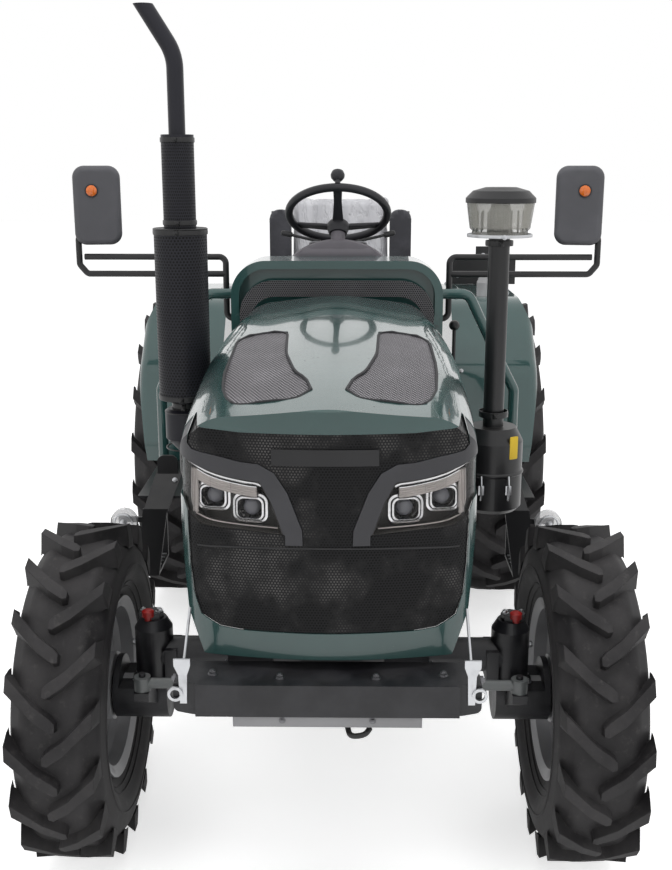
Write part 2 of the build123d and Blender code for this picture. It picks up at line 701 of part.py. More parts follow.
def air_cleaner():
    """Air cleaner canister with its shoulder, clamp band, outlet and bracket."""
    r = cleaner_radius
    low, high = clamp_z - 6, clamp_z + 6
    can = upright([(0, cleaner_bottom + 12), (20, cleaner_bottom), (r - 12, cleaner_bottom),
                   (r, cleaner_bottom + 12), (r, low), (r + 4, low + 4), (r + 4, high - 4), (r, high),
                   (r, cleaner_top - 38), (r - 20, cleaner_top), (0, cleaner_top)], exhaust_x, cleaner_y)
    bracket = block(exhaust_x - 40, exhaust_x + 40, rail_outer + 150, cleaner_y - r + 4, 800, 806)
    hose = tube([(exhaust_x, cleaner_y - 40, 900), (exhaust_x, 230, 900), (exhaust_x, 230, 985),
                 (exhaust_x, 160 + running_gap, 985)], 24, 40)
    return can + bracket + hose


def intake_pipe():
    return rod((exhaust_x, cleaner_y, cleaner_top - 5), (exhaust_x, cleaner_y, intake_top), intake_radius)


bowl_bottom_radius = 78
bowl_top_radius = 87
bowl_height = 65


def precleaner_bowl():
    """Clear bowl on its base ring."""
    z = intake_top + running_gap
    a, b = bowl_bottom_radius, bowl_top_radius
    return upright([(0, z), (72, z), (72, z + 14), (a, z + 20), (b, z + 20 + bowl_height),
                    (b - 3, z + 20 + bowl_height), (a - 3, z + 23), (0, z + 23)], exhaust_x, cleaner_y)


def precleaner_cap():
    z = intake_top + 20 + bowl_height + 2 * running_gap
    return upright([(0, z), (90, z), (90, z + 12), (72, z + 30), (40, z + 39), (0, z + 39)],
                   exhaust_x, cleaner_y)


# ---------------------------------------------------------------- middle
cowl_front = 142
cowl_depth = 190
cowl_half = 333
cowl_top = 1400
cowl_sheet = 5
cowl_lip = 26
cowl_bottom = 712
panel_bottom = 960
band_half = 304
band_width = 34
band_top = 1340
band_bottom = 1150
gearbox_top = 800
gearbox_half = 150
bell_top = 820
bell_half = 190


def arch(half, top, bottom, radius, x0, x1):
    return front_plate([(-half, bottom), (half, bottom), (half, top), (-half, top)], x0, x1,
                       [0, 0, radius, radius])


def cowl():
    """Arched housing behind the hood with its turned-in front lip, open to the front and below."""
    back = cowl_front - cowl_depth
    outer = arch(cowl_half, cowl_top, cowl_bottom, 110, back, cowl_front)
    inner = arch(cowl_half - cowl_sheet, cowl_top - cowl_sheet, cowl_bottom - 10, 105,
                 back + cowl_sheet, cowl_front - cowl_sheet)
    mouth = arch(cowl_half - cowl_lip, cowl_top - cowl_lip, cowl_bottom - 10, 84, cowl_front - 40,
                 cowl_front + 1)
    saddle = block(back - 1, cowl_front + 1, -gearbox_half - 10, gearbox_half + 10, cowl_bottom - 1,
                   gearbox_top + 10)
    panel = arch(cowl_half - cowl_sheet + 1, cowl_top - cowl_sheet + 1, panel_bottom, 105, cowl_front - 36,
                 cowl_front - 30)
    return outer - inner - mouth - saddle + panel


def cowl_mesh():
    """Dark mesh band that arches over the hood's rear edge, standing on the hinge bar."""
    x0 = cowl_front + hinge_bar_depth + running_gap
    x1 = x0 + band_depth
    outer = arch(band_half, band_top, band_bottom, 105, x0, x1)
    return outer - arch(band_half - band_width, band_top - 50, band_bottom - 1, 75, x0 - 1, x1 + 1)


def dash():
    """Instrument shroud with its domed top on the back of the cowl, and the steering column."""
    back = cowl_front - cowl_depth - running_gap
    body = side_plate([(back, 1060), (back, 1425), (back - 70, 1440), (back - 175, 1330), (back - 120, 1060)],
                      -140, 140, [0, 30, 50, 60, 30])
    shroud = body & front_plate([(-140, 1000), (140, 1000), (140, 1450), (-140, 1450)], back - 300, back + 10,
                                [0, 0, 100, 100])
    frame = steering_frame().location
    sleeve = frame * Pos(0, 0, -168) * Cylinder(24, 200)
    bore = frame * Pos(0, 0, -107) * Cylinder(shaft_radius + running_gap, 80)
    return shroud + (sleeve & block(back - 400, back, -100, 100, 900, 1600)) - bore


wheel_rim_radius = 165
wheel_grip_radius = 13
shaft_radius = 11
column_tilt = 33
wheel_centre = (-172, 0, 1530)


def steering_frame():
    """Plane of the steering wheel's rim, its normal up the column."""
    a = radians(column_tilt)
    return Plane(origin=wheel_centre, x_dir=(cos(a), 0, sin(a)), z_dir=(-sin(a), 0, cos(a)))


def steering_wheel():
    """Rim, three spokes, dished hub and a spinner knob, on its shaft."""
    grip = Plane.XZ * Pos(wheel_rim_radius, 0) * RegularPolygon(wheel_grip_radius, 12)
    ring = revolve(grip, axis=Axis.Z)
    hub = Pos(0, 0, -38) * Cylinder(32, 30)
    spokes = []
    for angle in (0, 120, 240):
        start = (24 * cos(radians(angle)), 24 * sin(radians(angle)), -38)
        reach = wheel_rim_radius - 5
        end = (reach * cos(radians(angle)), reach * sin(radians(angle)), -3)
        spokes.append(rod(start, end, 8))
    knob = Pos(wheel_rim_radius, 0, 13) * (Pos(0, 0, 8) * Cylinder(7, 24) + Pos(0, 0, 28) * Sphere(22))
    shaft = Pos(0, 0, -93) * Cylinder(shaft_radius, 90)
    wheel = ring + hub + spokes + knob + shaft
    return steering_frame().location * wheel


def gearbox():
    """Clutch bell, gearbox and rear axle case with its two trumpets, one train bolted end to end."""
    bell = front_plate([(-165, 520), (165, 520), (bell_half, 620), (175, bell_top), (-175, bell_top),
                        (-bell_half, 620)],
                       engine_rear_x - 150, engine_rear_x - running_gap, [60, 60, 60, 60, 60, 60])
    case = block(-330, engine_rear_x - 150, -gearbox_half, gearbox_half, 430, gearbox_top)
    diff = block(rear_case_x, -330, -175, 175, 420, 850)
    trumpet = rod((rear_axle_x, -rear_flange_y, rear_wheel_z), (rear_axle_x, rear_flange_y, rear_wheel_z), 72)
    lift_case = block(rear_case_x, -560, -125, 125, 850, 960)
    pin_hole = rod((top_link_x, -60, top_link_z), (top_link_x, 60, top_link_z), top_pin_radius + running_gap)
    top_bracket = both(block(rear_case_x - 50, rear_case_x, 22, 34, 760, 830) - pin_hole)
    link_bracket = both(block(rear_case_x - 5, rear_case_x + 80, 175, 196, 400, 470))
    drawbar_box = block(rear_case_x - 60, rear_case_x + 120, -40, 40, 360, 420)
    axle_bore = rod((rear_axle_x, -rear_flange_y - 1, rear_wheel_z),
                    (rear_axle_x, rear_flange_y + 1, rear_wheel_z),
                    rear_shaft_radius + running_gap)
    plug = rod((rear_axle_x, -200, rear_wheel_z), (rear_axle_x, 200, rear_wheel_z), 60)
    pto_bore = rod((rear_case_x - 1, 0, pto_height), (rear_case_x + 80, 0, pto_height),
                   pto_radius + running_gap)
    shaft_hole = rod((rear_case_x + 70, -190, lift_height), (rear_case_x + 70, 190, lift_height),
                     lift_shaft_radius + running_gap)
    return bell + case + diff + (trumpet - axle_bore) + plug + lift_case + top_bracket + link_bracket \
        + drawbar_box - pto_bore - shaft_hole


rear_case_x = -1010
rear_flange_y = 395
rear_shaft_radius = 34
pto_height = 560
pto_radius = 17.5
lift_height = 915
lift_shaft_radius = 30


def drive_guard():
    """Guard tube of the shaft from the gearbox to the front axle."""
    return rod((engine_rear_x - 155, 0, 462), (front_axle_x - 170 - running_gap, 0, 462), 28)


def rear_hub():
    """Half shaft and flange that carry the rear rim's disc."""
    y0 = 210 - rear_track / 2
    y1 = rear_flange_y + moving_gap - rear_track / 2
    y2 = rear_dish
    y3 = rear_dish + 40
    return turned([(0, y0), (rear_shaft_radius, y0), (rear_shaft_radius, y1), (115, y1), (115, y1 + 30),
                   (60, y1 + 45), (60, y2 - 20), (120, y2 - 20), (120, y2), (54, y2), (54, y3), (0, y3)])


floor_top = 700
floor_sheet = 8


floor_front = 356
floor_outer = 610
step_front = 392
step_height = 452
lid_rear = 300                  # sloping lid at the floor's front
lid_top = 760
lid_low = 669
lid_sheet = 12
lamp_arm_z = 634
step_lamp_y = 645
step_lamp_radius = 40
fender_lamp = (-450, 533)       # its centre on the fender's top


def footboards():
    """Left floor plate, the sloping lid and cheek at its front, the step and the lamp's arm."""
    inner = bell_half + moving_gap
    plate = flat_plate([(-420, inner), (floor_front, inner), (floor_front, floor_outer), (-120, floor_outer),
                        (-120, 395), (-420, 395)], floor_top - floor_sheet, floor_top)
    lid_room = front_plate([(478, lid_top), (560, lid_top), (590, lid_low - lid_sheet),
                            (515, lid_low - lid_sheet)],
                           lid_rear, step_front)
    lid = lid_room & side_plate([(lid_rear, lid_top), (step_front, lid_low), (step_front, lid_low - lid_sheet),
                                 (lid_rear, lid_top - lid_sheet)], 450, floor_outer)
    guard = front_plate([(492, lid_top - lid_sheet), (556, lid_top - lid_sheet), (556, 815), (492, 815)],
                        lid_rear - 4, lid_rear + 4, [0, 0, 22, 22])
    cheek = front_plate([(515, lid_low - 1), (590, lid_low - 1), (612, step_height), (548, step_height)],
                        step_front - lid_sheet, step_front)
    step = block(200, step_front, 548, floor_outer, step_height, step_height + 8)
    rear_leg = block(200, 212, 548, floor_outer, step_height, floor_top)
    lamp_arm = block(step_front - lid_sheet, step_front, 580, 665, lamp_arm_z - 8, lamp_arm_z + 8)
    stay = block(40, 80, gearbox_half, inner + 30, 640, floor_top - floor_sheet)
    return both(plate + lid + guard + cheek + step + rear_leg + lamp_arm + stay)


def marker_lamps():
    """Round clear lamps: one on the arm beside the step, one on the fender's top."""
    x, y, z, r = step_front + running_gap, step_lamp_y, lamp_arm_z, step_lamp_radius
    low = rod((x, y, z), (x + 22, y, z), r) + rod((x + 22, y, z), (x + 30, y, z), r - 10)
    z = fender_top + running_gap
    high = upright([(0, z), (30, z), (30, z + 48), (20, z + 72), (0, z + 76)], *fender_lamp)
    return gathered(both(low), both(high))


fender_inner = 402
fender_outer = 690
fender_sheet = 5
fender_bottom = 700
fender_top = 1225
fender_skirt = 60               # depth of the outer side wall
fender_edge = 32
tyre_clearance = 18
fender_play = 1                 # the bulge's outline stands this far outside the flat of the side


def fender_side(inset, low):
    """Side outline of the room under the left fender, drawn in by inset, down to low."""
    Corner = namedtuple("Corner", "x z inward down")
    arc = [Corner(-60, 760, -1, -0.2), Corner(-150, 1010, -0.8, -0.6), Corner(-370, fender_top, -0.4, -1),
           Corner(-890, fender_top, 0, -1), Corner(-1180, 1090, 0.8, -0.8), Corner(-1275, 900, 1, 0)]
    points = [(c.x + c.inward * inset, c.z + c.down * inset) for c in arc]
    return [(points[0][0], low)] + points + [(points[-1][0], low)]


def fender_form(inset):
    """Solid room that the left fender covers, its outer edge rounded and its outer side bulged."""
    low = fender_bottom - (10 if inset else 0)
    room = side_plate(fender_side(inset, low), fender_inner + inset, fender_outer - inset, fender_rounds)
    rim_edges = room.faces().sort_by(Axis.Y)[-1].edges().filter_by(lambda e: e.center().Z > fender_bottom + 20)
    room = fillet(rim_edges, fender_edge - inset)
    side = fender_outer + fender_play - inset
    bulge = front_plate([(fender_inner - 10, low - 5), (side - 36, low - 5), (side, 960), (side, 1130),
                         (side - 51, fender_top + 20), (fender_inner - 10, fender_top + 20)],
                        -1400, 100, [0, 0, 300, 120, 0, 0])
    return room & bulge


def fender():
    """Left rear fender: arched sheet with a rounded edge, a shallow outer skirt and a full inner wall."""
    y0, y1 = fender_inner + fender_sheet + 20, fender_outer + 10
    window = side_plate(fender_side(fender_skirt, fender_bottom - 20), y0, y1)
    tyre_room = rod((rear_axle_x, y0, rear_wheel_z), (rear_axle_x, y1, rear_wheel_z),
                    rear_tyre_od / 2 + tyre_clearance)
    return fender_form(0) - fender_form(fender_sheet) - window - tyre_room


fender_rounds = [0, 60, 150, 150, 150, 150, 60, 0]


def rear_lamps():
    """Lamp box on the rear slope of each fender."""
    case = fillet(block(-1140, -1040, 520, 640, 1060, 1190).edges(), 10)
    slope = side_plate(fender_side(-running_gap, fender_bottom), 500, 700, fender_rounds)
    return both(case - slope)


side_lever = (-30, 386, 1175)   # centre of its ball
gear_lever = (-310, 0, 1068)
gear_lever_foot = (-285, 0, gearbox_top + 1)


def levers():
    """Lever with a ball beside the cowl and the gear lever ahead of the seat."""
    x, y, z = side_lever
    side = rod((x, y, floor_top + running_gap), side_lever, 6) + Pos(x, y, z) * Sphere(17.5)
    shift = rod(gear_lever_foot, gear_lever, 8) + Pos(*gear_lever) * Sphere(21)
    return gathered(side, shift)


def grab_rail():
    """Left hand rail from the cowl's shoulder down to the floor."""
    x = 70
    return tube([(x, cowl_half + running_gap, 1290), (x, 420, 1290), (x, 520, 1085),
                 (x, 575, 980), (x, 575, floor_top + running_gap)], 16.5, 40)


mirror_x = -10
mirror_y = 775
mirror_z = 1563
mirror_width = 150
mirror_height = 250
mirror_depth = 50
mirror_tilt = -12
mirror_tube = 10                # radius of the arm's tubes


def mirror_stem(radius):
    """Upper end of the arm's outer tube, which the mirror's back grips."""
    return tube([(mirror_x, mirror_y + 65, 1375), (mirror_x, mirror_y + 65, 1470),
                 (mirror_x, mirror_y + 30, 1470)],
                radius, 18)


def mirror_arm():
    """Bracket on the cowl's side, post and two tubes out to the mirror's stem."""
    y0 = cowl_half + running_gap
    plate = block(mirror_x - 25, mirror_x + 25, y0, y0 + 6, 1170, 1280)
    post = tube([(mirror_x, y0 + 6, 1200), (mirror_x, y0 + 30, 1200), (mirror_x, y0 + 30, 1400),
                 (mirror_x, 822, 1400)], mirror_tube, 22)
    lower = tube([(mirror_x, y0 + 30, 1345), (mirror_x, mirror_y + 40, 1345), (mirror_x, mirror_y + 65, 1375),
                  (mirror_x, mirror_y + 65, 1470), (mirror_x, mirror_y + 30, 1470)], mirror_tube, 18)
    return plate + post + lower


def mirror_head():
    """Mirror housing on its stem, its outline and its edges well rounded."""
    case = extrude(Plane.YZ * RectangleRounded(mirror_width, mirror_height, 38), amount=mirror_depth / 2,
                   both=True)
    faces = case.faces().sort_by(Axis.X)
    case = fillet(faces[0].edges() + faces[-1].edges(), 18)
    return Pos(mirror_x - 10, mirror_y, mirror_z) * Rot(0, 0,
                                                        mirror_tilt) * case - mirror_stem(mirror_tube + 0.5)


# ---------------------------------------------------------------- seat and rear
seat_x = -760
cushion_top = 1205


def seat_stand():
    """Pressed stand from the lift case up to the seat."""
    return side_plate([(seat_x - 130, 960), (seat_x + 170, 960), (seat_x + 150, 1110), (seat_x - 150, 1110)],
                      -110, 110)


def seat_cushion():
    pad = block(seat_x - 180, seat_x + 210, -225, 225, 1110 + running_gap, cushion_top)
    return fillet(pad.edges(), 25)


def seat_back():
    """Padded back, leaned a little to the rear."""
    low = cushion_top + running_gap
    back = side_plate([(seat_x - 190, low), (seat_x - 110, low), (seat_x - 175, 1580), (seat_x - 245, 1580)],
                      -215, 215)
    return fillet(back.edges(), 22)


def side_bars():
    """Two upright padded bars beside the seat."""
    bar = block(seat_x - 170, seat_x - 110, 226 - 45 + 50, 226 + 50, 1110, 1510)
    foot = block(seat_x - 170, seat_x - 110, 110 + running_gap, 276, 1095, 1110)
    return both(fillet(bar.edges().filter_by(Axis.Z), 15) + foot)


def plate_bracket():
    """Number plate board behind the left fender, with its round-topped tab."""
    x = -850
    low = fender_top + running_gap
    board = block(x, x + 4, 440, 700, low, low + 105)
    tab = block(x, x + 4, 540, 600, low + 100, low + 150)
    foot = block(x, x + 60, 540, 600, low, low + 4)
    return board + tab + foot


lift_arm_length = 240
lower_pivot = (rear_case_x + 38, 430)
lift_arm_y = 240
link_ball_radius = 28
link_pin_radius = 11.2


def lift_arms():
    """Rockshaft with an arm at each end."""
    x, z = rear_case_x + 70, lift_height
    shaft = rod((x, -lift_arm_y - 10, z), (x, lift_arm_y + 10, z), lift_shaft_radius)
    arm = side_plate([(x + 45, z - 45), (x + 45, z + 45), (x - lift_arm_length - 24, z + 20),
                      (x - lift_arm_length - 24, z - 20)], lift_arm_y - 10, lift_arm_y + 10)
    hole = rod((x - lift_arm_length, 200, z), (x - lift_arm_length, 300, z), 9 + running_gap)
    side = arm - hole
    return shaft + side + across(side)


def lift_rod():
    """Left lift rod from the lift arm down to the lower link, with a pin at each end."""
    xa, za = rear_case_x + 70 - lift_arm_length, lift_height
    xb, zb = lower_pivot[0] - lift_arm_length, lower_pivot[1]
    y = lift_arm_y + 10 + moving_gap + 12
    bar = rod((xa, y, za), (xb, y, zb), 14)
    top = rod((xa, y - 12, za), (xa, y + 12, za), 24)
    low = rod((xb, y - 12, zb), (xb, y + 12, zb), 24)
    pin_top = rod((xa, y, za), (xa, lift_arm_y - 14, za), 9)
    pin_low = rod((xb, y, zb), (xb, lift_arm_y - 14, zb), 9)
    return bar + top + low + pin_top + pin_low


def lower_link():
    """Left lower link with its front eye, rod hole and rear ball end."""
    x0, z = lower_pivot
    x1 = link_tip_x + link_ball_radius
    y = lift_arm_y
    bar = block(x1, x0, y - 9, y + 9, z - 26, z + 26)
    ball = rod((x1, y - 17.5, z), (x1, y + 17.5, z), link_ball_radius)
    eye = rod((x0, y - 14, z), (x0, y + 14, z), 32)
    holes = [rod((x1, y - 30, z), (x1, y + 30, z), link_pin_radius),
             rod((x0, y - 30, z), (x0, y + 30, z), 14 + running_gap),
             rod((x0 - lift_arm_length, y - 30, z), (x0 - lift_arm_length, y + 30, z), 9 + running_gap)]
    return bar + ball + eye - holes


def link_pins():
    """Pins on the rear case that the lower links hang on."""
    x0, z = lower_pivot
    return both(rod((x0, 196 + running_gap, z), (x0, lift_arm_y + 24, z), 14))


top_link_x = rear_case_x - 30
top_link_z = 795
top_link_length = 420
top_pin_radius = 9.5


def top_link():
    """Top link hanging from its bracket, with an eye at each end."""
    x, z = top_link_x, top_link_z
    end = (x - top_link_length, 0, z - 60)
    bar = rod((x, 0, z), end, 14)
    eye = rod((x, -20, z), (x, 20, z), 22)
    tip = rod((end[0], -22, end[2]), (end[0], 22, end[2]), 24)
    front_hole = rod((x, -40, z), (x, 40, z), top_pin_radius + running_gap)
    rear_hole = rod((end[0], -40, end[2]), (end[0], 40, end[2]), top_pin_radius)
    return bar + eye + tip - front_hole - rear_hole


def top_pin():
    return rod((top_link_x, -42, top_link_z), (top_link_x, 42, top_link_z), top_pin_radius)


def drawbar():
    """Fixed drawbar under the rear case with its hitch hole."""
    bar = block(rear_case_x - 180, rear_case_x + 100, -30, 30, 330, 360 - running_gap)
    hole = rod((rear_case_x - 150, 0, 300), (rear_case_x - 150, 0, 400), 11)
    return bar - hole


def pto_shaft():
    """Power take-off stub with a flat-sided spline end."""
    body = rod((rear_case_x - 85, 0, pto_height), (rear_case_x + 78, 0, pto_height), pto_radius)
    grooves = [Pos(rear_case_x - 52, 0, pto_height) * Rot(i * 60 + 30, 0, 0) * Pos(0, 0, pto_radius)
               * Box(70, 5, 6) for i in range(6)]
    return body - grooves


def pto_shield():
    """Inverted-U shield over the power take-off."""
    outer = front_plate([(-90, 520), (90, 520), (90, 650), (-90, 650)], rear_case_x - 110,
                        rear_case_x - running_gap,
                        [0, 0, 40, 40])
    inner = front_plate([(-86, 500), (86, 500), (86, 646), (-86, 646)], rear_case_x - 120, rear_case_x + 10,
                        [0, 0, 36, 36])
    return outer - inner


# ---------------------------------------------------------------- nodes
def build():
    nodes = {}
    nodes["front_frame"] = front_frame()
    nodes["skid_plate"] = skid_plate()
    nodes["front_axle"] = axle_beam()
    nodes["knuckle_left"] = knuckle()
    nodes["knuckle_right"] = across(nodes["knuckle_left"])
    nodes["tie_rod"] = tie_rod()
    hub_rims = {"front": (front_wheel, rim(front_wheel) + front_hub(), front_axle_x, front_track / 2,
                          front_wheel_z),
                "rear": (rear_wheel, rim(rear_wheel) + rear_hub(), rear_axle_x, rear_track / 2, rear_wheel_z)}
    for end, (size, rim_body, x, y, z) in hub_rims.items():
        nodes[end + "_rim_left"], nodes[end + "_rim_right"] = rolling(rim_body, x, y, z)
        nodes[end + "_tyre_left"], nodes[end + "_tyre_right"] = rolling(tyre(size), x, y, z)
    nodes["engine"] = engine()
    nodes["engine_fittings"] = gathered(exhaust_side(), intake_side(), hoses(), belt())
    nodes["fan"] = fan()
    nodes["radiator"] = radiator()
    nodes["battery"] = battery()
    nodes["fuel_tank"] = fuel_tank()
    hood, grille, brows, lamp_left, lamp_right, mesh = hood_parts()
    nodes["hood"] = hood
    nodes["grille"] = grille
    nodes["brow_trim"] = brows
    nodes["headlamp_left"] = lamp_left
    nodes["headlamp_right"] = lamp_right
    nodes["hood_vents"] = both(mesh)
    nodes["latches"] = both(latch())
    nodes["exhaust"] = gathered(muffler(), exhaust_pipe())
    nodes["air_cleaner"] = air_cleaner() + intake_pipe()
    nodes["precleaner_bowl"] = precleaner_bowl()
    nodes["precleaner_cap"] = precleaner_cap()
    nodes["cowl"] = cowl() + hood_hinge()
    nodes["cowl_mesh"] = cowl_mesh()
    nodes["dash"] = dash()
    nodes["steering_wheel"] = steering_wheel()
    nodes["gearbox"] = gearbox() + drive_guard()
    nodes["footboards"] = footboards()
    nodes["fender_left"] = fender()
    nodes["fender_right"] = across(nodes["fender_left"])
    nodes["grab_rails"] = both(grab_rail())
    nodes["rear_lamps"] = rear_lamps()
    nodes["marker_lamps"] = marker_lamps()
    nodes["levers"] = levers()
    nodes["mirror_arms"] = both(mirror_arm())
    nodes["mirrors"] = both(mirror_head())
    nodes["seat_frame"] = gathered(seat_stand(), side_bars())
    nodes["seat_cushion"] = seat_cushion()
    nodes["seat_back"] = seat_back()
    nodes["plate_bracket"] = plate_bracket()
    nodes["lift_arms"] = lift_arms()
    nodes["lift_rod_left"] = lift_rod()
    nodes["lift_rod_right"] = across(nodes["lift_rod_left"])
    nodes["lower_link_left"] = lower_link()
    nodes["lower_link_right"] = across(nodes["lower_link_left"])
    nodes["top_link"] = top_link()
    nodes["hitch_fittings"] = gathered(link_pins(), top_pin(), drawbar(), pto_shield())
    nodes["pto_shaft"] = pto_shaft()
    return nodes


os.makedirs("parts", exist_ok=True)
for name, shape in build().items():
    export_step(shape, f"parts/{name}.step")
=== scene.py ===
import json
import math

import bmesh
import bpy
from mathutils import Matrix, Vector
from mathutils.bvhtree import BVHTree


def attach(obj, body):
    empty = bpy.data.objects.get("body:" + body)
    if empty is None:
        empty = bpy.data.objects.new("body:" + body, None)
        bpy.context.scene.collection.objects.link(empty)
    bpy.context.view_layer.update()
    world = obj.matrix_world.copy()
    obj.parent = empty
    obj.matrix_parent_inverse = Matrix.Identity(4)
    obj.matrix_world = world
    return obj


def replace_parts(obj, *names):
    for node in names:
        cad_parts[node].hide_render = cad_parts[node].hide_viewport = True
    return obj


# Looks of a compact four-wheel-drive farm tractor. Metres, +X forward, +Y the driver's left, +Z up.

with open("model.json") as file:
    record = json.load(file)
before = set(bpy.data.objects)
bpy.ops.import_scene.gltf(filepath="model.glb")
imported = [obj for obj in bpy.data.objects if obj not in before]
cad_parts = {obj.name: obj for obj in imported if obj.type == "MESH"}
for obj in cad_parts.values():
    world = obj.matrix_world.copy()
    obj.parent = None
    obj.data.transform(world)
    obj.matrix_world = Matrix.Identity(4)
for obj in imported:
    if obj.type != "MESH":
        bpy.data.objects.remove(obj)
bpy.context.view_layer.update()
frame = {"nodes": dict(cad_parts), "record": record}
nodes = frame["nodes"]


# ---------------------------------------------------------------- finishes
class Value:
    """A number or colour that varies over a surface; sums on values add Math nodes."""

    def __init__(self, finish, socket):
        self.finish = finish
        self.socket = socket

    def math(self, operation, *terms, clamp=False):
        return self.finish.node("Math", dict(operation=operation, use_clamp=clamp), terms)

    def __add__(self, other):
        return self.math("ADD", self, other)

    def __radd__(self, other):
        return self.math("ADD", other, self)

    def __sub__(self, other):
        return self.math("SUBTRACT", self, other)

    def __rsub__(self, other):
        return self.math("SUBTRACT", other, self)

    def __mul__(self, other):
        return self.math("MULTIPLY", self, other)

    def __rmul__(self, other):
        return self.math("MULTIPLY", other, self)

    def __gt__(self, other):
        return self.math("GREATER_THAN", self, other)

    def __lt__(self, other):
        return self.math("LESS_THAN", self, other)

    def __mod__(self, other):
        return self.math("FLOORED_MODULO", self, other)

    def __abs__(self):
        return self.math("ABSOLUTE", self)

    def least(self, other):
        return self.math("MINIMUM", self, other)

    def step(self, low, high):
        """0 below low and 1 above high, with a smooth run between them."""
        return self.finish.node("MapRange", dict(interpolation_type="SMOOTHSTEP"), {0: self, 1: low, 2: high})

    def out(self, index):
        """Another output of the same node."""
        return Value(self.finish, self.socket.node.outputs[index])


class Finish:
    """A material with one Principled shader, its look built from nodes."""

    def __init__(self, name, color, roughness, metallic=0.0, **fixed):
        self.material = bpy.data.materials.new(name)
        self.material.use_nodes = True
        self.tree = self.material.node_tree
        self.shader = self.tree.nodes["Principled BSDF"]
        self.shader.inputs["Base Color"].default_value = (*color, 1)
        self.shader.inputs["Roughness"].default_value = roughness
        self.shader.inputs["Metallic"].default_value = metallic
        for socket, value in fixed.items():
            self.shader.inputs[socket.replace("_", " ")].default_value = value
        self.place = self.node("TexCoord", out=3)
        self.x, self.y, self.z = self.split(self.place)

    def node(self, kind, settings=None, values=(), out=0):
        """A node of that kind: its settings first, then its inputs as numbers, colours or links."""
        made = self.tree.nodes.new("ShaderNode" + kind)
        for key, setting in (settings or {}).items():
            setattr(made, key, setting)
        pairs = values.items() if isinstance(values, dict) else enumerate(values)
        for key, value in pairs:
            self.feed(made.inputs[key], value)
        return Value(self, made.outputs[out])

    def feed(self, socket, value):
        """Links a value to the socket, or sets a number or colour on it."""
        if isinstance(value, Value):
            self.tree.links.new(value.socket, socket)
        elif value is not None:
            wide = socket.type == "RGBA" and not isinstance(value, (int, float))
            socket.default_value = (*value[:3], 1) if wide else value

    def split(self, vector):
        first = self.node("SeparateXYZ", values=[vector])
        return first, first.out(1), first.out(2)

    def join(self, x, y, z):
        return self.node("CombineXYZ", values=[x, y, z])

    def noise(self, scale, detail=3.0, rough=0.55, at=None):
        return self.node("TexNoise", None, {"Vector": at or self.place, "Scale": scale, "Detail": detail,
                                            "Roughness": rough})

    def cells(self, scale):
        return self.node("TexVoronoi", None, {"Vector": self.place, "Scale": scale})

    def blend(self, mask, first, second):
        """The first colour where the mask is 0, the second where it is 1."""
        return self.node("Mix", dict(data_type="RGBA"), {0: mask, 6: first, 7: second}, out=2)

    def holes(self, across, along, pitch, size):
        """1 in the round holes of a perforated sheet, laid out in staggered rows."""
        row = pitch * math.sqrt(3)
        lattice = []
        for shift in (0.0, 0.5):
            a = (across + shift * pitch) % pitch - pitch / 2
            b = (along + shift * row) % row - row / 2
            lattice.append(a * a + b * b)
        near = lattice[0].least(lattice[1])
        return 1 - near.step((0.42 * size) ** 2, (0.56 * size) ** 2)

    def set(self, **looks):
        for socket, value in looks.items():
            self.feed(self.shader.inputs[socket.replace("_", " ")], value)
        return self

    def relief(self, height, depth, distance=0.001, rounding=0.0):
        """Bumps of that height, over edges rounded for the light."""
        under = self.node("Bevel", dict(samples=4), {"Radius": rounding}) if rounding else None
        self.set(Normal=self.node("Bump", None, {"Strength": depth, "Distance": distance, "Height": height,
                                                 "Normal": under}))
        return self


def up_facing(finish):
    """1 on faces that look up, where dust settles."""
    return finish.split(finish.node("NewGeometry", out=1))[2].step(0.55, 0.95)


road_dust = (0.32, 0.30, 0.27)
dry_soil = (0.22, 0.20, 0.17)
wet_green = (0.004, 0.010, 0.010)


def painted(name, color, roughness, coat=0.0, dust=0.12, peel=0.12, drops=0.0):
    """Sprayed paint: a little orange peel, dust and drops on what faces up, and faint wear of its gloss."""
    finish = Finish(name, color, roughness, Coat_Roughness=0.05)
    cloudy = finish.noise(3.1, 4).step(0.35, 0.75)
    fine = finish.noise(230, 2)
    settled = up_facing(finish) * finish.noise(9, 5).step(0.4, 0.8) * dust
    deep = tuple(c * 0.8 for c in color)
    tone = finish.blend(cloudy, color, deep)
    gloss = coat - settled * coat
    if drops:
        bead = 1 - finish.cells(34).step(0.05, 0.10)
        bead = bead * up_facing(finish) * finish.noise(5, 3).step(0.5, 0.56) * drops
        tone = finish.blend(bead, tone, wet_green)
        gloss = gloss - bead * 0.8
    finish.set(Base_Color=finish.blend(settled, tone, road_dust),
               Roughness=settled * 0.5 + cloudy * 0.06 + fine * 0.05 + roughness - 0.04)
    if coat:
        finish.set(Coat_Weight=gloss)
    return finish.relief(fine, peel, 0.0004, 0.0015).material


def cast(name, color, roughness=0.6, grit=260, dust=0.1):
    """Painted or bare casting: pebbled skin, lighter blotches and dry dust."""
    finish = Finish(name, color, roughness)
    pebble = finish.noise(grit, 4, 0.7)
    blotch = finish.noise(11, 5).step(0.35, 0.7)
    settled = up_facing(finish) * finish.noise(14, 4).step(0.35, 0.75) * dust
    light = tuple(min(1, c * 1.5 + 0.012) for c in color)
    finish.set(Base_Color=finish.blend(settled, finish.blend(blotch, color, light), dry_soil),
               Roughness=roughness - 0.1 + blotch * 0.18)
    return finish.relief(pebble, 0.35, 0.0012, 0.002).material


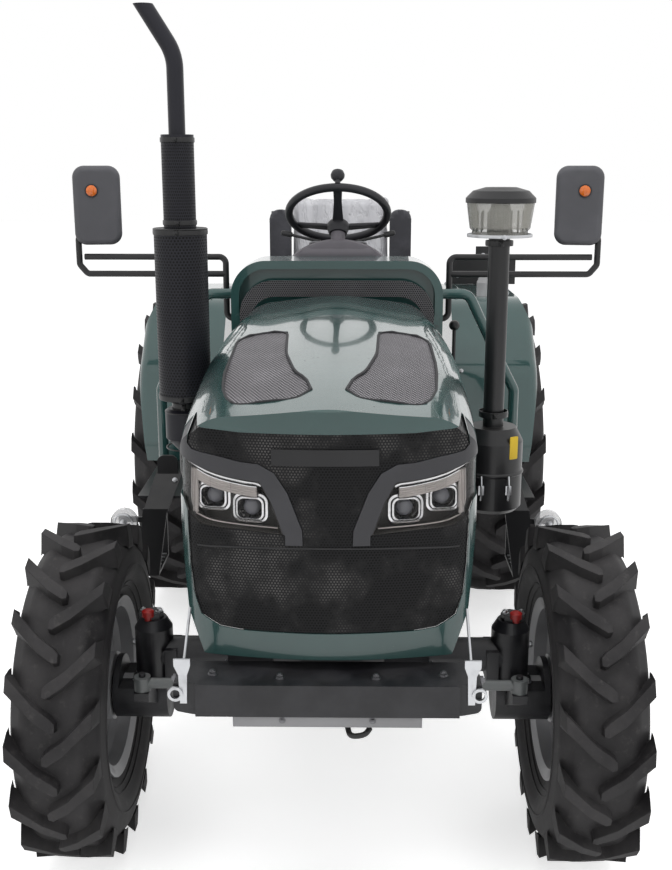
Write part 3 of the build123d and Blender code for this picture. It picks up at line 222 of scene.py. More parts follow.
def moulded(name, color, roughness=0.5, grain=900, depth=0.25):
    """Moulded plastic or hard rubber with a fine leathery grain."""
    finish = Finish(name, color, roughness)
    skin = finish.cells(grain)
    blotch = finish.noise(7, 4).step(0.4, 0.7)
    light = tuple(min(1, c * 1.35 + 0.006) for c in color)
    finish.set(Base_Color=finish.blend(blotch * 0.6, color, light), Roughness=roughness + blotch * 0.08)
    return finish.relief(skin, depth, 0.0005, 0.0015).material


def bare(name, color, roughness=0.3):
    """Bare or plated metal with fine rubbed lines and dull spots."""
    finish = Finish(name, color, roughness, 1.0)
    rubbed = finish.noise(1, 2, at=finish.join(finish.x * 900, finish.y * 40, finish.z * 900))
    dull = finish.noise(25, 4).step(0.5, 0.75)
    finish.set(Base_Color=finish.blend(dull * 0.4, color, tuple(c * 0.6 for c in color)),
               Roughness=roughness + dull * 0.15 + rubbed * 0.08)
    return finish.relief(rubbed, 0.06, 0.0003, 0.001).material


tractor_green = (0.020, 0.066, 0.062)
green_paint = painted("green paint", tractor_green, 0.22, coat=1.0, dust=0.06, peel=0.012, drops=1.0)
black_paint = painted("black paint", (0.008, 0.008, 0.009), 0.34, coat=0.1, dust=0.1)
chassis_paint = cast("chassis paint", (0.008, 0.008, 0.010), 0.42, 300, dust=0.03)
iron_casting = cast("iron casting", (0.030, 0.031, 0.032), 0.5, 240)
grey_paint = painted("grey paint", (0.30, 0.30, 0.31), 0.40, coat=0.2, dust=0.2)
tie_rod_paint = painted("tie rod paint", (0.13, 0.14, 0.14), 0.36, coat=0.3, dust=0.2)
dark_zinc = bare("dark zinc", (0.20, 0.20, 0.21), 0.35)
red_plastic = moulded("red plastic", (0.35, 0.012, 0.010), 0.35)
yellow_plate = moulded("yellow plate", (0.62, 0.42, 0.02), 0.4, 1500, 0.1)
grey_trim = moulded("grey trim", (0.030, 0.030, 0.034), 0.42, 1400, 0.15)
dash_plastic = moulded("dash plastic", (0.095, 0.088, 0.100), 0.5, 1300, 0.2)
black_plastic = moulded("black plastic", (0.012, 0.012, 0.013), 0.40)
hard_rubber = moulded("hard rubber", (0.018, 0.018, 0.020), 0.62, 700, 0.35)
mirror_plastic = moulded("mirror plastic", (0.070, 0.070, 0.078), 0.45, 1200, 0.2)
chrome = bare("chrome", (0.80, 0.80, 0.81), 0.10)
bright_zinc = bare("bright zinc", (0.62, 0.63, 0.65), 0.28)
bare_steel = bare("bare steel", (0.42, 0.42, 0.43), 0.32)


def rubber(name, color):
    """Tyre rubber: dry grey bloom and pale scuffs on a fine skin."""
    finish = Finish(name, color, 0.72, Specular_IOR_Level=0.35)
    bloom = finish.noise(6, 6, 0.65).step(0.36, 0.68)
    scuff = finish.noise(42, 4, 0.7).step(0.55, 0.75)
    fine = finish.noise(180, 3)
    aged = finish.blend(bloom, color, (0.042, 0.040, 0.041))
    finish.set(Base_Color=finish.blend(scuff * 0.35, aged, (0.085, 0.080, 0.078)),
               Roughness=0.56 + bloom * 0.2)
    return finish.relief(fine, 0.2, 0.0008, 0.003).material


def perforated(name, sheet, hole_shade, pitch, size, axis, shine=0.42, glints=0.0, turn=0.0):
    """Sheet punched with staggered round holes; axis says which way the holes look. The holes are painted
    dark, a painted shade of the space behind the sheet, with painted glints in some of them.
    """
    finish = Finish(name, sheet, shine, Specular_IOR_Level=0.16)
    across, along = {"x": (finish.y, finish.z), "z": (finish.x, finish.y)}[axis]
    if turn:
        turned = across * math.cos(turn) + along * math.sin(turn)
        across, along = turned, along * math.cos(turn) - across * math.sin(turn)
    hole = finish.holes(across, along, pitch, size)
    patchy = finish.noise(8, 4, 0.6).step(0.45, 0.7)
    # painted shade in the holes, lightened in patches to painted glints
    lit = finish.blend(patchy * glints, hole_shade, (0.30, 0.29, 0.28))
    worn = finish.blend(patchy * 0.5, sheet, tuple(c * 1.5 for c in sheet))
    finish.set(Base_Color=finish.blend(hole, worn, lit), Roughness=shine + hole * 0.3)
    return finish.relief(1 - hole, 0.7, 0.0008).material


def punched_tube(name, middle, radius, low, high, pitch=0.0088, size=0.0052):
    """Black tube punched all round with staggered holes between two heights; the holes are painted near black
    as painted shade of the pipe inside.
    """
    axis_x, axis_y = middle
    finish = Finish(name, (0.012, 0.012, 0.016), 0.34, Specular_IOR_Level=0.3)
    angle = finish.node("Math", dict(operation="ARCTAN2"), [finish.y - axis_y, finish.x - axis_x])
    sleeve = (finish.z > low) * (finish.z < high)
    hole = finish.holes(angle * radius, finish.z, pitch, size) * sleeve
    # near-black holes: painted shade of the pipe inside
    finish.set(Base_Color=finish.blend(hole, (0.013, 0.013, 0.018), (0.002, 0.002, 0.002)),
               Roughness=0.34 + hole * 0.4)
    return finish.relief(1 - hole, 0.8, 0.001).material


def clear(name, color, alpha, roughness=0.05, slanted=0.55):
    """Clear moulding that mirrors more at a slant than head on."""
    finish = Finish(name, color, roughness, Coat_Weight=1.0)
    slant = finish.node("LayerWeight", None, {"Blend": 0.25})
    haze = finish.noise(20, 3).step(0.4, 0.7)
    finish.set(Alpha=alpha + slant * slanted + haze * 0.03, Roughness=roughness + haze * 0.05)
    return finish.material


def finned(name, color):
    """Cooler core: fine upright fins between flat tubes, the gaps between them painted dark as painted shade.
    """
    finish = Finish(name, color, 0.5, 0.8)
    fins = (finish.y % 0.0028).step(0.0006, 0.0016)
    tubes = (finish.z % 0.011).step(0.001, 0.003)
    # dark where neither fin nor tube: painted shade in the gaps
    finish.set(Base_Color=finish.blend(fins * tubes, (0.02, 0.02, 0.02), color), Roughness=0.6 - fins * 0.2)
    return finish.relief(fins * tubes, 0.6, 0.001).material


def hide(name, color, roughness=0.42):
    """Seat vinyl: pebbled grain with soft creases."""
    finish = Finish(name, color, roughness)
    grain = finish.cells(320)
    crease = finish.noise(16, 5, 0.6)
    finish.set(Base_Color=finish.blend(crease.step(0.4, 0.75), color, tuple(c * 1.5 + 0.004 for c in color)),
               Roughness=roughness + crease * 0.12)
    return finish.relief(grain * 0.25 + crease, 0.4, 0.002).material


def film(name):
    """Thin clear wrapping, milky where it crumples."""
    finish = Finish(name, (0.62, 0.62, 0.65), 0.22, Coat_Weight=0.6)
    drawn = finish.join(finish.x + finish.y * 0.4, finish.y * 1.5, finish.z * 0.45 + finish.y * 0.5)
    folds = finish.noise(8, 4, 0.5, at=drawn)
    crease = abs(finish.noise(11, 5, 0.6, at=drawn) - 0.5).step(0.0, 0.05)
    finish.set(Base_Color=finish.blend(folds.step(0.3, 0.75), (0.46, 0.46, 0.49), (0.68, 0.68, 0.71)),
               Alpha=0.98 - crease * 0.06, Roughness=0.12 + folds * 0.12)
    return finish.relief(folds + crease * 0.25, 0.8, 0.012).material


def glass_face(name):
    """Mirror glass."""
    finish = Finish(name, (0.85, 0.87, 0.88), 0.03, 1.0)
    finish.set(Roughness=finish.noise(3, 2) * 0.04)
    return finish.material


tyre_rubber = rubber("tyre rubber", (0.015, 0.014, 0.015))
# second colour of each sheet: the painted shade seen in its holes
grille_mesh = perforated("grille mesh", (0.012, 0.012, 0.013), (0.002, 0.002, 0.002), 0.0066, 0.0040, "x",
                         0.36, glints=0.35)
vent_mesh = perforated("vent mesh", (0.21, 0.20, 0.215), (0.012, 0.012, 0.013), 0.0078, 0.0058, "z",
                       0.34, turn=0.42)
band_mesh = perforated("band mesh", (0.10, 0.10, 0.105), (0.006, 0.006, 0.006), 0.0068, 0.0044, "x", 0.4)
stack = (692.5, -400)
exhaust_guard = punched_tube("exhaust guard", [mm / 1000 for mm in stack], 0.069, 1.092, 1.757)
lamp_lens = clear("lamp lens", (0.06, 0.06, 0.06), 0.03, 0.05, 0.3)
bowl_plastic = clear("bowl plastic", (0.50, 0.49, 0.44), 0.34, 0.12)
amber_lens = clear("amber lens", (0.75, 0.16, 0.01), 0.85, 0.12)
red_lens = clear("red lens", (0.42, 0.008, 0.006), 0.9, 0.12)
marker_glass = clear("marker glass", (0.62, 0.62, 0.63), 0.45, 0.1)
bright_bezel = bare("bright bezel", (0.86, 0.86, 0.87), 0.16)
projector_glass = clear("projector glass", (0.13, 0.13, 0.15), 0.85, 0.04)
bowl_metal = bare("lamp bowl", (0.30, 0.29, 0.28), 0.2)
badge_black = moulded("badge black", (0.006, 0.006, 0.007), 0.3, 1500, 0.05)
helm_black = moulded("wheel black", (0.012, 0.012, 0.015), 0.42, 900, 0.2)
lamp_tray = moulded("lamp tray", (0.040, 0.037, 0.034), 0.35, 1500, 0.05)
frosted = moulded("frosted band", (0.46, 0.42, 0.40), 0.3, 1500, 0.1)
core_metal = finned("cooler core", (0.20, 0.20, 0.21))
seat_vinyl = hide("seat vinyl", (0.014, 0.014, 0.015))
pad_vinyl = hide("pad vinyl", (0.034, 0.034, 0.040), 0.5)
seat_film = film("seat film")
mirror_glass = glass_face("mirror glass")

finish_of_slot = {
    "green_paint": green_paint, "black_paint": black_paint, "chassis_paint": chassis_paint,
    "grey_paint": grey_paint, "tyre_rubber": tyre_rubber, "black_mesh": grille_mesh, "grey_mesh": vent_mesh,
    "grey_trim": grey_trim, "lamp_glass": marker_glass, "clear_bowl": bowl_plastic, "red_lens": red_lens,
    "black_plastic": black_plastic, "chrome_metal": chrome, "bare_steel": bare_steel,
    "iron_casting": iron_casting, "cooler_metal": core_metal, "seat_cover": seat_vinyl,
}
finish_of_node = {
    "cowl_mesh": band_mesh, "tie_rod": tie_rod_paint, "dash": dash_plastic, "mirrors": mirror_plastic,
    "exhaust": exhaust_guard, "latches": bright_zinc,
}
for part in frame["record"]["subparts"]:
    body = nodes[part["node"]]
    body.data.materials.clear()
    body.data.materials.append(finish_of_node.get(part["node"], finish_of_slot[part["material_slot"]]))


# ---------------------------------------------------------------- making pieces, in millimetres
front_axle = Vector((1042.5, 0, 409.6))
rear_axle = Vector((-752.5, 0, 579.6))


def toward(at, axis):
    """A place whose own Z runs along axis."""
    return Matrix.Translation(Vector(at)) @ Vector(axis).to_track_quat("Z", "Y").to_matrix().to_4x4()


def facing(at, axis):
    """A place whose own Z runs along axis and whose own Y keeps upright."""
    z = Vector(axis).normalized()
    x = Vector((0, 0, 1)).cross(z).normalized()
    y = z.cross(x)
    turn = Matrix((x, y, z)).transposed().to_4x4()
    return Matrix.Translation(Vector(at)) @ turn


def rounded(width, height, radius, steps=4):
    """Outline of a rectangle with round corners."""
    points = []
    for cx, cy, start in ((1, 1, 0), (-1, 1, 90), (-1, -1, 180), (1, -1, 270)):
        for i in range(steps + 1):
            a = math.radians(start + 90 * i / steps)
            points.append((cx * (width / 2 - radius) + radius * math.cos(a),
                           cy * (height / 2 - radius) + radius * math.sin(a)))
    return points


def ring_points(radius, count, start=0.0):
    """Places evenly round a circle."""
    return [(radius * math.cos(start + math.tau * i / count), radius * math.sin(start + math.tau * i / count))
            for i in range(count)]


def eased(points, bend, steps=5):
    """Straight runs through the points with rounded corners."""
    points = [Vector(p) for p in points]
    path = [points[0]]
    for before, corner, after in zip(points, points[1:], points[2:]):
        back, ahead = before - corner, after - corner
        start = corner + back.normalized() * min(bend, 0.48 * back.length)
        end = corner + ahead.normalized() * min(bend, 0.48 * ahead.length)
        for i in range(steps + 1):
            t = i / steps
            path.append(start.lerp(corner, t).lerp(corner.lerp(end, t), t))
    return path + [points[-1]]


smooth_below = math.radians(38)
tiny = 1e-6


class Shapes:
    """Gathers the solids of one piece."""

    def __init__(self):
        self.mesh = bmesh.new()

    def take(self, part, place):
        """Adds a solid, set down at the place."""
        part.transform(place)
        data = bpy.data.meshes.new("solid")
        part.to_mesh(data)
        part.free()
        self.mesh.from_mesh(data)
        bpy.data.meshes.remove(data)
        return self

    def skin_over(self, part, rings):
        """Faces between one ring of vertices and the next; a ring of one vertex closes to a point."""
        for lower, upper in zip(rings, rings[1:]):
            count = max(len(lower), len(upper))
            for i in range(count):
                j = (i + 1) % count
                corners = [lower[i % len(lower)], lower[j % len(lower)],
                           upper[j % len(upper)], upper[i % len(upper)]]
                corners = [v for k, v in enumerate(corners) if v not in corners[:k]]
                if len(corners) > 2:
                    part.faces.new(corners)

    def turned(self, profile, place, steps=32):
        """A body turned about the place's Z from (radius, height) points."""
        part = bmesh.new()
        rings = []
        for radius, height in profile:
            if radius < tiny:
                rings.append([part.verts.new((0, 0, height))])
            else:
                rings.append([part.verts.new((x, y, height)) for x, y in ring_points(radius, steps)])
        self.skin_over(part, rings)
        return self.take(part, place)

    def ring(self, radius, wire, place, steps=64, sides=10):
        """A round bar bent to a ring."""
        section = [(radius + wire * math.cos(a), wire * math.sin(a))
                   for a in (math.tau * i / sides for i in range(sides))]
        return self.turned(section + section[:1], place, steps)

    def slab(self, outline, low, high, place, edge=1.0, steps=2):
        """A flat outline as thick as from low to high, its edges rounded."""
        part = bmesh.new()
        lower = [part.verts.new((x, y, low)) for x, y in outline]
        upper = [part.verts.new((x, y, high)) for x, y in outline]
        part.faces.new(lower[::-1])
        part.faces.new(upper)
        self.skin_over(part, [lower, upper])
        if edge:
            rims = [e for e in part.edges if abs(e.verts[0].co.z - e.verts[1].co.z) < tiny]
            bmesh.ops.bevel(part, geom=rims, offset=edge, segments=steps, profile=0.6, affect="EDGES",
                            clamp_overlap=True)
        return self.take(part, place)

    def box(self, width, height, depth, place, edge=1.5, corner=2.0):
        """A block with its middle at the place."""
        return self.slab(rounded(width, height, corner, 2), -depth / 2, depth / 2, place, edge)

    def tube(self, points, radius, bend=20.0, sides=12, flat=1.0):
        """A round bar along the points."""
        part = bmesh.new()
        path = eased(points, bend)
        rings, side = [], None
        for i, point in enumerate(path):
            ahead = (path[min(i + 1, len(path) - 1)] - path[max(i - 1, 0)]).normalized()
            side = ahead.orthogonal() if side is None else side - ahead * side.dot(ahead)
            side.normalize()
            up = ahead.cross(side)
            rings.append([part.verts.new(point + side * x + up * y * flat)
                          for x, y in ring_points(radius, sides)])
        part.faces.new(rings[0][::-1])
        part.faces.new(rings[-1])
        self.skin_over(part, rings)
        return self.take(part, Matrix.Identity(4))

    def bolt(self, at, axis, size=16.0):
        """Hexagon head on its washer."""
        place = toward(at, axis)
        washer = [(0, -1), (0.78 * size, -1), (0.78 * size, 0.1 * size), (0.6 * size, 0.14 * size),
                  (0, 0.14 * size)]
        self.turned(washer, place, 20)
        self.slab(ring_points(0.577 * size, 6), 0.1 * size, 0.62 * size, place, 0.06 * size)
        return self.turned([(0.3 * size, 0.5 * size), (0.3 * size, 0.8 * size), (0, 0.86 * size)], place, 12)

    def bolts_on(self, skin, starts, way, size, axis=None, fits=None):
        """A bolt where each line along way first meets the skin, if that place fits."""
        for start in starts:
            seat = skin.hit(start, way)
            if seat and (fits is None or fits(seat)):
                self.bolt(seat, axis or tuple(0 - v for v in way), size)
        return self

    def done(self, name, finish, body="root", slot=None):
        """The piece itself, riding on its body."""
        assert self.mesh.faces, name
        bmesh.ops.recalc_face_normals(self.mesh, faces=self.mesh.faces)
        self.mesh.transform(Matrix.Scale(0.001, 4))
        data = bpy.data.meshes.new(name)
        self.mesh.to_mesh(data)
        self.mesh.free()
        data.polygons.foreach_set("use_smooth", [True] * len(data.polygons))
        data.set_sharp_from_angle(angle=smooth_below)
        data.materials.append(finish)
        made = bpy.data.objects.new(name, data)
        bpy.context.collection.objects.link(made)
        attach(made, body)
        return made


class Surface:
    """The skin of CAD pieces, to seat trim on."""

    def __init__(self, *names):
        points, faces = [], []
        for name in names:
            start = len(points)
            data = nodes[name].data
            points += [v.co * 1000 for v in data.vertices]
            faces += [[start + i for i in p.vertices] for p in data.polygons]
        self.tree = BVHTree.FromPolygons(points, faces)

    def near(self, point):
        """The nearest place on the skin."""
        return self.tree.find_nearest(Vector(point))[0]

    def hit(self, start, way, lift=0.0):
        """Where a line first meets the skin, lifted off it; None where it misses."""
        place, face = self.tree.ray_cast(Vector(start), Vector(way).normalized())[:2]
        return None if place is None else place + face * lift


sides = ((1, "left"), (-1, "right"))
forward, rearward, upward, downward = (1, 0, 0), (-1, 0, 0), (0, 0, 1), (0, 0, -1)


# ---------------------------------------------------------------- wheels
# one line an end: name, axle, nut face, nut circle, nut size, hub cap face, hub cap radius
wheel_ends = (("front", front_axle, 602, 66, 17, 638, 25), ("rear", rear_axle, 545, 92, 22, 575, 50))


def sidewall_rings(end, axle, sign, side, wire, sink, starts, radii):
    """Raised rings on a tyre's walls, seated by lines that start at a y and run in (1) or out (-1)."""
    tyre = Surface(f"{end}_tyre_{side}")
    rings = Shapes()
    for radius in radii:
        for y, way in starts:
            seat = tyre.hit(axle + Vector((0, sign * y, radius)), (0, -sign * way, 0))
            if seat:
                middle = axle + Vector((0, seat.y - sign * sink, 0))
                rings.ring(radius, wire, toward(middle, (0, sign, 0)), 96, 8)
    rings.done(f"{end}_sidewall_rings_{side}", tyre_rubber, f"{end}_{side}_wheel")


def wheel_trim(sign, side):
    """Nuts, hub caps and sidewall rings of one side's wheels, and the bolts and breather of its axle end."""
    outward, inward = (0, sign, 0), (0, -sign, 0)
    for end, axle, nut_y, circle, size, cap_y, cap in wheel_ends:
        body = f"{end}_{side}_wheel"
        nuts = Shapes()
        for x, z in ring_points(circle, 8, math.pi / 8):
            nuts.bolt(axle + Vector((x, sign * nut_y, z)), outward, size)
        nuts.done(f"{end}_wheel_nuts_{side}", bright_zinc, body)
        hub = toward(axle + Vector((0, sign * cap_y, 0)), outward)
        Shapes().turned([(cap, -6), (cap, 0), (cap * 0.9, 3), (cap * 0.3, 4), (0, 4)], hub, 36).done(
            f"{end}_hub_cap_{side}", black_paint, body)
    sidewall_rings("rear", rear_axle, sign, side, 3.2, 0.4, ((900, 1),), (372, 392, 452))
    sidewall_rings("front", front_axle, sign, side, 2.6, 0, ((910, 1), (310, -1)), (248, 262, 306))

    case = Surface("front_axle")
    studs = Shapes()
    flange = [(front_axle.x + x, sign * 700, front_axle.z + 40 + z)
              for x, z in ring_points(78, 6, math.pi / 6)]
    studs.bolts_on(case, flange, inward, 13, fits=lambda seat: abs(seat.y) > 380)
    lid = [(front_axle.x + x, sign * y, 900) for x in (-48, 0, 48) for y in (430, 470)]
    studs.bolts_on(case, lid, downward, 12, fits=lambda seat: seat.z > 500)
    studs.done(f"axle_end_bolts_{side}", bright_zinc)
    seat = case.hit((1065, sign * 454, 900), downward)
    Shapes().turned([(9, -2), (9, 8), (15, 10), (15, 24), (11, 27), (0, 27)], toward(seat, upward), 24).done(
        f"axle_breather_{side}", red_plastic)
    pivot_lid = [(front_axle.x + x, sign * (471 + z * 0.5), 700) for x, z in ring_points(46, 6)]
    Shapes().bolts_on(Surface(f"knuckle_{side}"), pivot_lid, downward, 11).done(
        f"knuckle_bolts_{side}", bright_zinc, f"{side}_knuckle")


for sign, side in sides:
    wheel_trim(sign, side)


# ---------------------------------------------------------------- nose: lamps, badge, seam, bumper
# across and up on the cover, half width, depth of the middle behind the cover
projectors = ((242, 1025, 36, 25), (162, 1006, 37, 19))
# across and up on the cover, from the outer end in
strip_line = ((290, 1099), (273, 1092), (249, 1082), (222, 1074), (196, 1069), (164, 1064), (146, 1063),
              (136, 1058))
band_foot = ((284, 986), (250, 977), (215, 973), (170, 970), (104, 967))


in_lamp = ("hood", "lamp_glass")


def lamp_faces(node, keep):
    """Those faces of a lamp body that keep says yes to."""
    part = bmesh.new()
    part.from_mesh(node.data)
    part.transform(Matrix.Scale(1000, 4))
    part.normal_update()
    bmesh.ops.delete(part, geom=[f for f in part.faces if not keep(f)], context="FACES")
    return part


def headlamp(sign, side):
    """Clear cover, dark tray, two bright projectors, a frosted band and a chrome strip."""
    node = nodes[f"headlamp_{side}"]

    def outer(face):
        middle = face.calc_center_median()
        return face.normal.x > 0.15 or (face.normal.y * sign > 0.9 and middle.y * sign > 298.5)

    cover = lamp_faces(node, outer)
    skin = BVHTree.FromBMesh(cover)

    def on_cover(y, z, depth=0.0):
        """The place on the cover straight behind y and z, or the nearest one, sunk into the lamp."""
        place, face = skin.ray_cast(Vector((1600, sign * y, z)), Vector(rearward))[:2]
        if place is None:
            place, face = skin.find_nearest(Vector((1440, sign * y, z)))[:2]
        return place - face * depth

    bmesh.ops.solidify(cover, geom=cover.faces[:], thickness=2.2)
    tray = lamp_faces(node, lambda face: not outer(face))
    bmesh.ops.solidify(tray, geom=tray.faces[:], thickness=1.2)
    Shapes().take(cover, Matrix.Identity(4)).done(f"headlamp_cover_{side}", lamp_lens, *in_lamp)
    trays = Shapes().take(tray, Matrix.Identity(4)).done(f"headlamp_tray_{side}", lamp_tray, *in_lamp)

    bezels, eyes, bowls = Shapes(), Shapes(), Shapes()
    for y, z, half, deep in projectors:
        place = facing(on_cover(y, z, deep), (1, 0.18 * sign, 0.02))
        for grown, back, rise in ((1.0, -26, 4), (0.80, -16, 8)):
            outline = rounded(2 * half * grown, 1.68 * half * grown, 0.5 * half * grown, 5)
            inner = [(x * 0.87, h * 0.86) for x, h in outline]
            ring = bmesh.new()
            loops = [[ring.verts.new((x, h, height)) for x, h in line] for line, height in
                     ((outline, back), (outline, rise - 2), (inner, rise), (inner, back))]
            bezels.skin_over(ring, loops + loops[:1])
            bezels.take(ring, place)
        bowls.turned([(half * 0.7, -30), (half * 0.72, -8), (half * 0.5, -22), (0, -26)], place, 32)
        eyes.turned([(half * 0.52, -20), (half * 0.5, -10), (half * 0.4, -3), (half * 0.22, 1), (0, 2.5)],
                    place, 32)
    bezels.done(f"projector_bezels_{side}", bright_bezel, *in_lamp)
    bowls.done(f"projector_bowls_{side}", bowl_metal, *in_lamp)
    eyes.done(f"projector_lenses_{side}", projector_glass, *in_lamp)

    strip, band = Shapes(), Shapes()
    strip.tube([on_cover(y, z, 5) for y, z in strip_line], 3.6, 12, 8)
    strip.tube([on_cover(y, z - 9, 8) for y, z in strip_line[1:-1]], 1.8, 12, 6)
    strip.done(f"headlamp_strip_{side}", chrome, *in_lamp)
    for below in (13, 18, 23, 28):
        band.tube([on_cover(y, z - below, 9) for y, z in strip_line[1:-1]], 3.1, 12, 8)
    for inward in (0, 6, 12):
        upright = [(287 - inward + 0.05 * (1090 - z), z) for z in (1084, 1060, 1035, 1010, 990)]
        band.tube([on_cover(y, z, 10) for y, z in upright], 3.4, 20, 8)
    band.tube([on_cover(y, z, 12) for y, z in band_foot], 1.6, 20, 8)
    band.done(f"headlamp_band_{side}", frosted, *in_lamp)
    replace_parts(trays, f"headlamp_{side}")


for sign, side in sides:
    headlamp(sign, side)

nose = Surface("grille")
ahead = 1700
badge_reach, badge_foot, badge_top = 113, 1104, 1138
sheet = bmesh.new()
rows = [[sheet.verts.new(nose.hit((ahead, y, z), rearward, lift))
         for y in range(-badge_reach, badge_reach + 1, badge_reach // 6)]
        for lift in (1.0, 4.5) for z in (badge_foot, badge_top)]
for a, b in ((0, 1), (1, 3), (3, 2), (2, 0)):
    for i in range(len(rows[0]) - 1):
        sheet.faces.new((rows[a][i], rows[a][i + 1], rows[b][i + 1], rows[b][i]))
for i in (0, -1):
    sheet.faces.new((rows[0][i], rows[1][i], rows[3][i], rows[2][i]))
Shapes().take(sheet, Matrix.Identity(4)).done("badge_plate", badge_black, "hood")

seam = [nose.hit((ahead, y, 929 - 6 * (y / 266) ** 2), rearward, 0.3) for y in range(-272, 273, 16)]
Shapes().tube([p for p in seam if p], 2.2, 8, 8).done("grille_seam", black_plastic, "hood")

# x and distance from the middle, round the left vent's opening
vent_edge = ((1390, 62), (1340, 37), (1270, 46), (1210, 77), (1040, 107), (800, 115), (780, 183), (825, 243),
             (1100, 243), (1270, 231), (1345, 214), (1390, 190))
top = Surface("hood", "hood_vents")
for sign, side in sides:
    line = eased([Vector((x, sign * y, 1500)) for x, y in vent_edge + vent_edge[:2]], 45, 4)
    ring = [top.hit(p, downward, 0.8) for p in line[6:]]
    ring = [p for p in ring if p]
    Shapes().tube(ring + ring[:1], 3.4, 1, 8).done(f"vent_rubber_{side}", hard_rubber, "hood")

beam = Surface("front_frame")
beam_top = ((1505, -99), (1505, 100), (1490, -240), (1490, 240))
bolts = Shapes().bolts_on(beam, [(x, y, 900) for x, y in beam_top], downward, 13)
for sign, side in sides:
    rail = [(x, sign * 500, 640) for x in (1100, 1180, 1260, 1400, 1470)]
    bolts.bolts_on(beam, rail, (0, -sign, 0), 16)
bolts.done("frame_bolts", dark_zinc)
Shapes().bolts_on(Surface("skid_plate"), [(1800, y, 579) for y in (-93, 93)], rearward, 9).done(
    "skid_bolts", dark_zinc)
hook_line = [(1500, 40, 566), (1512, 42, 548), (1530, 48, 540), (1532, 78, 545), (1516, 88, 552)]
Shapes().tube(hook_line, 6, 14).done("pull_hook", black_paint)


# ---------------------------------------------------------------- stack, air cleaner, bowl
def bands(name, centre, rows, finish):
    """Clamp bands round an upright tube, each with its screw; a row is height, radius and half width."""
    made = Shapes()
    x, y = centre
    for z, radius, tall in rows:
        hoop = [(radius, -tall), (radius + 2, -tall), (radius + 2.4, 0), (radius + 2, tall), (radius, tall)]
        made.turned(hoop, Matrix.Translation((x, y, z)), 48)
        made.box(16, 12, 1.6 * tall, Matrix.Translation((x + radius + 6, y, z)), 1)
        made.bolt((x + radius + 14, y, z), forward, 8)
    return made.done(name, finish)


bands("stack_clamps", stack, ((1060, 35, 9), (1088, 69.2, 6), (1521, 69.2, 6), (1545, 42, 6), (1752, 42, 6)),
      black_paint)
can = Shapes()
for z, radius in ((945, 55), (1045, 55), (1082, 69.4), (1529, 69.4)):
    can.ring(radius, 2.2, Matrix.Translation((*stack, z)), 64, 8)
can.done("stack_beads", black_paint)

cleaner = Surface("air_cleaner")
cleaner_x, cleaner_y = 692.5, 430
bands("cleaner_clamps", (cleaner_x, cleaner_y), ((1040, 37, 8), (1493, 34, 7)), black_paint)
label_at = cleaner.hit((1300, 478, 960), rearward, 0.6)
Shapes().box(26, 62, 1.2, facing(label_at, (1, 0.55, 0)), 0.3, 3).done("cleaner_label", yellow_plate)
clips = Shapes()
for y in (395, 465):
    seat = cleaner.hit((1300, y, 850), rearward, 3)
    if seat:
        clips.tube([seat + Vector((x, 0, z)) for x, z in ((0, 34), (9, 12), (7, -20), (0, -32))], 3, 8, 8)
        clips.box(16, 26, 4, facing(seat + Vector((4, 0, -4)), forward), 1)
clips.done("cleaner_clips", bright_zinc)
bowl = Shapes()
for x, y in ring_points(70, 22):
    bowl.box(5, 52, 2, facing((cleaner_x + x, cleaner_y + y, 1548), (x, y, 0)), 0.6, 0.8)
bowl.turned([(0, 1515), (34, 1515), (30, 1560), (24, 1592), (0, 1592)],
            Matrix.Translation((cleaner_x, cleaner_y, 0)), 36)
bowl.done("bowl_vanes", black_plastic)
bands("bowl_band", (cleaner_x + 0.5, cleaner_y), ((1513, 82, 4),), bright_zinc)


# ---------------------------------------------------------------- cowl, dash, steering wheel
column_tilt = math.radians(33)
helm_radius, helm_bar, hub_drop = 165, 13.5, 52
spoke_rise = math.atan2(50, 141)
wheel_frame = Matrix.Translation((-172, 0, 1530)) @ Matrix.Rotation(-column_tilt, 4, "Y")
spoke = [(18, -20), (60, -16), (110, -13), (168, -15), (168, 15), (110, 13), (60, 16), (18, 20)]
helm = Shapes()
helm.ring(helm_radius, helm_bar, wheel_frame, 96, 20)
for k in range(3):
    place = wheel_frame @ Matrix.Rotation(math.tau * k / 3, 4, "Z") @ Matrix.Translation((0, 0, -hub_drop))
    helm.slab(spoke, -5, 5, place @ Matrix.Rotation(-spoke_rise, 4, "Y"), 4, 3)
hub = [(0, -140), (14, -140), (14, -80), (30, -74), (36, -58), (37, -42), (32, -34), (20, -30), (0, -28)]
helm.turned(hub, wheel_frame, 40)
helm.turned([(0, -30), (20, -30.5), (21, -28), (17, -25), (0, -24)], wheel_frame, 40)
knob = [(0, 12), (9, 12), (9, 24), (15, 28), (22, 38), (23, 46), (19, 57), (10, 63), (0, 64)]
helm.turned(knob, wheel_frame @ Matrix.Translation((helm_radius, 0, 0)), 32)
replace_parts(helm.done("steering_wheel_rim", helm_black, "hand_wheel", "black_plastic"), "steering_wheel")

# the cover behind the wheel: arches of x, half width and top height over a common waist and foot
cover_waist, cover_foot = 1322, 1250
arches = ((-58, 170, 1440), (-64, 182, 1449), (-78, 186, 1453), (-100, 184, 1452), (-118, 176, 1446),
          (-124, 168, 1438))
dome = bmesh.new()
hoops = []
for x, half, crown in arches:
    arch = [(half * math.cos(a), cover_waist + (crown - cover_waist) * math.sin(a))
            for a in (math.pi * i / 32 for i in range(33))]
    hoops.append([dome.verts.new((x, y, z))
                  for y, z in [(half * 0.8, cover_foot)] + arch + [(-half * 0.8, cover_foot)]])
cover = Shapes()
cover.skin_over(dome, hoops)
dome.faces.new(hoops[0])
dome.faces.new(hoops[-1])
cover.take(dome, Matrix.Identity(4)).done("dash_cover", dash_plastic)

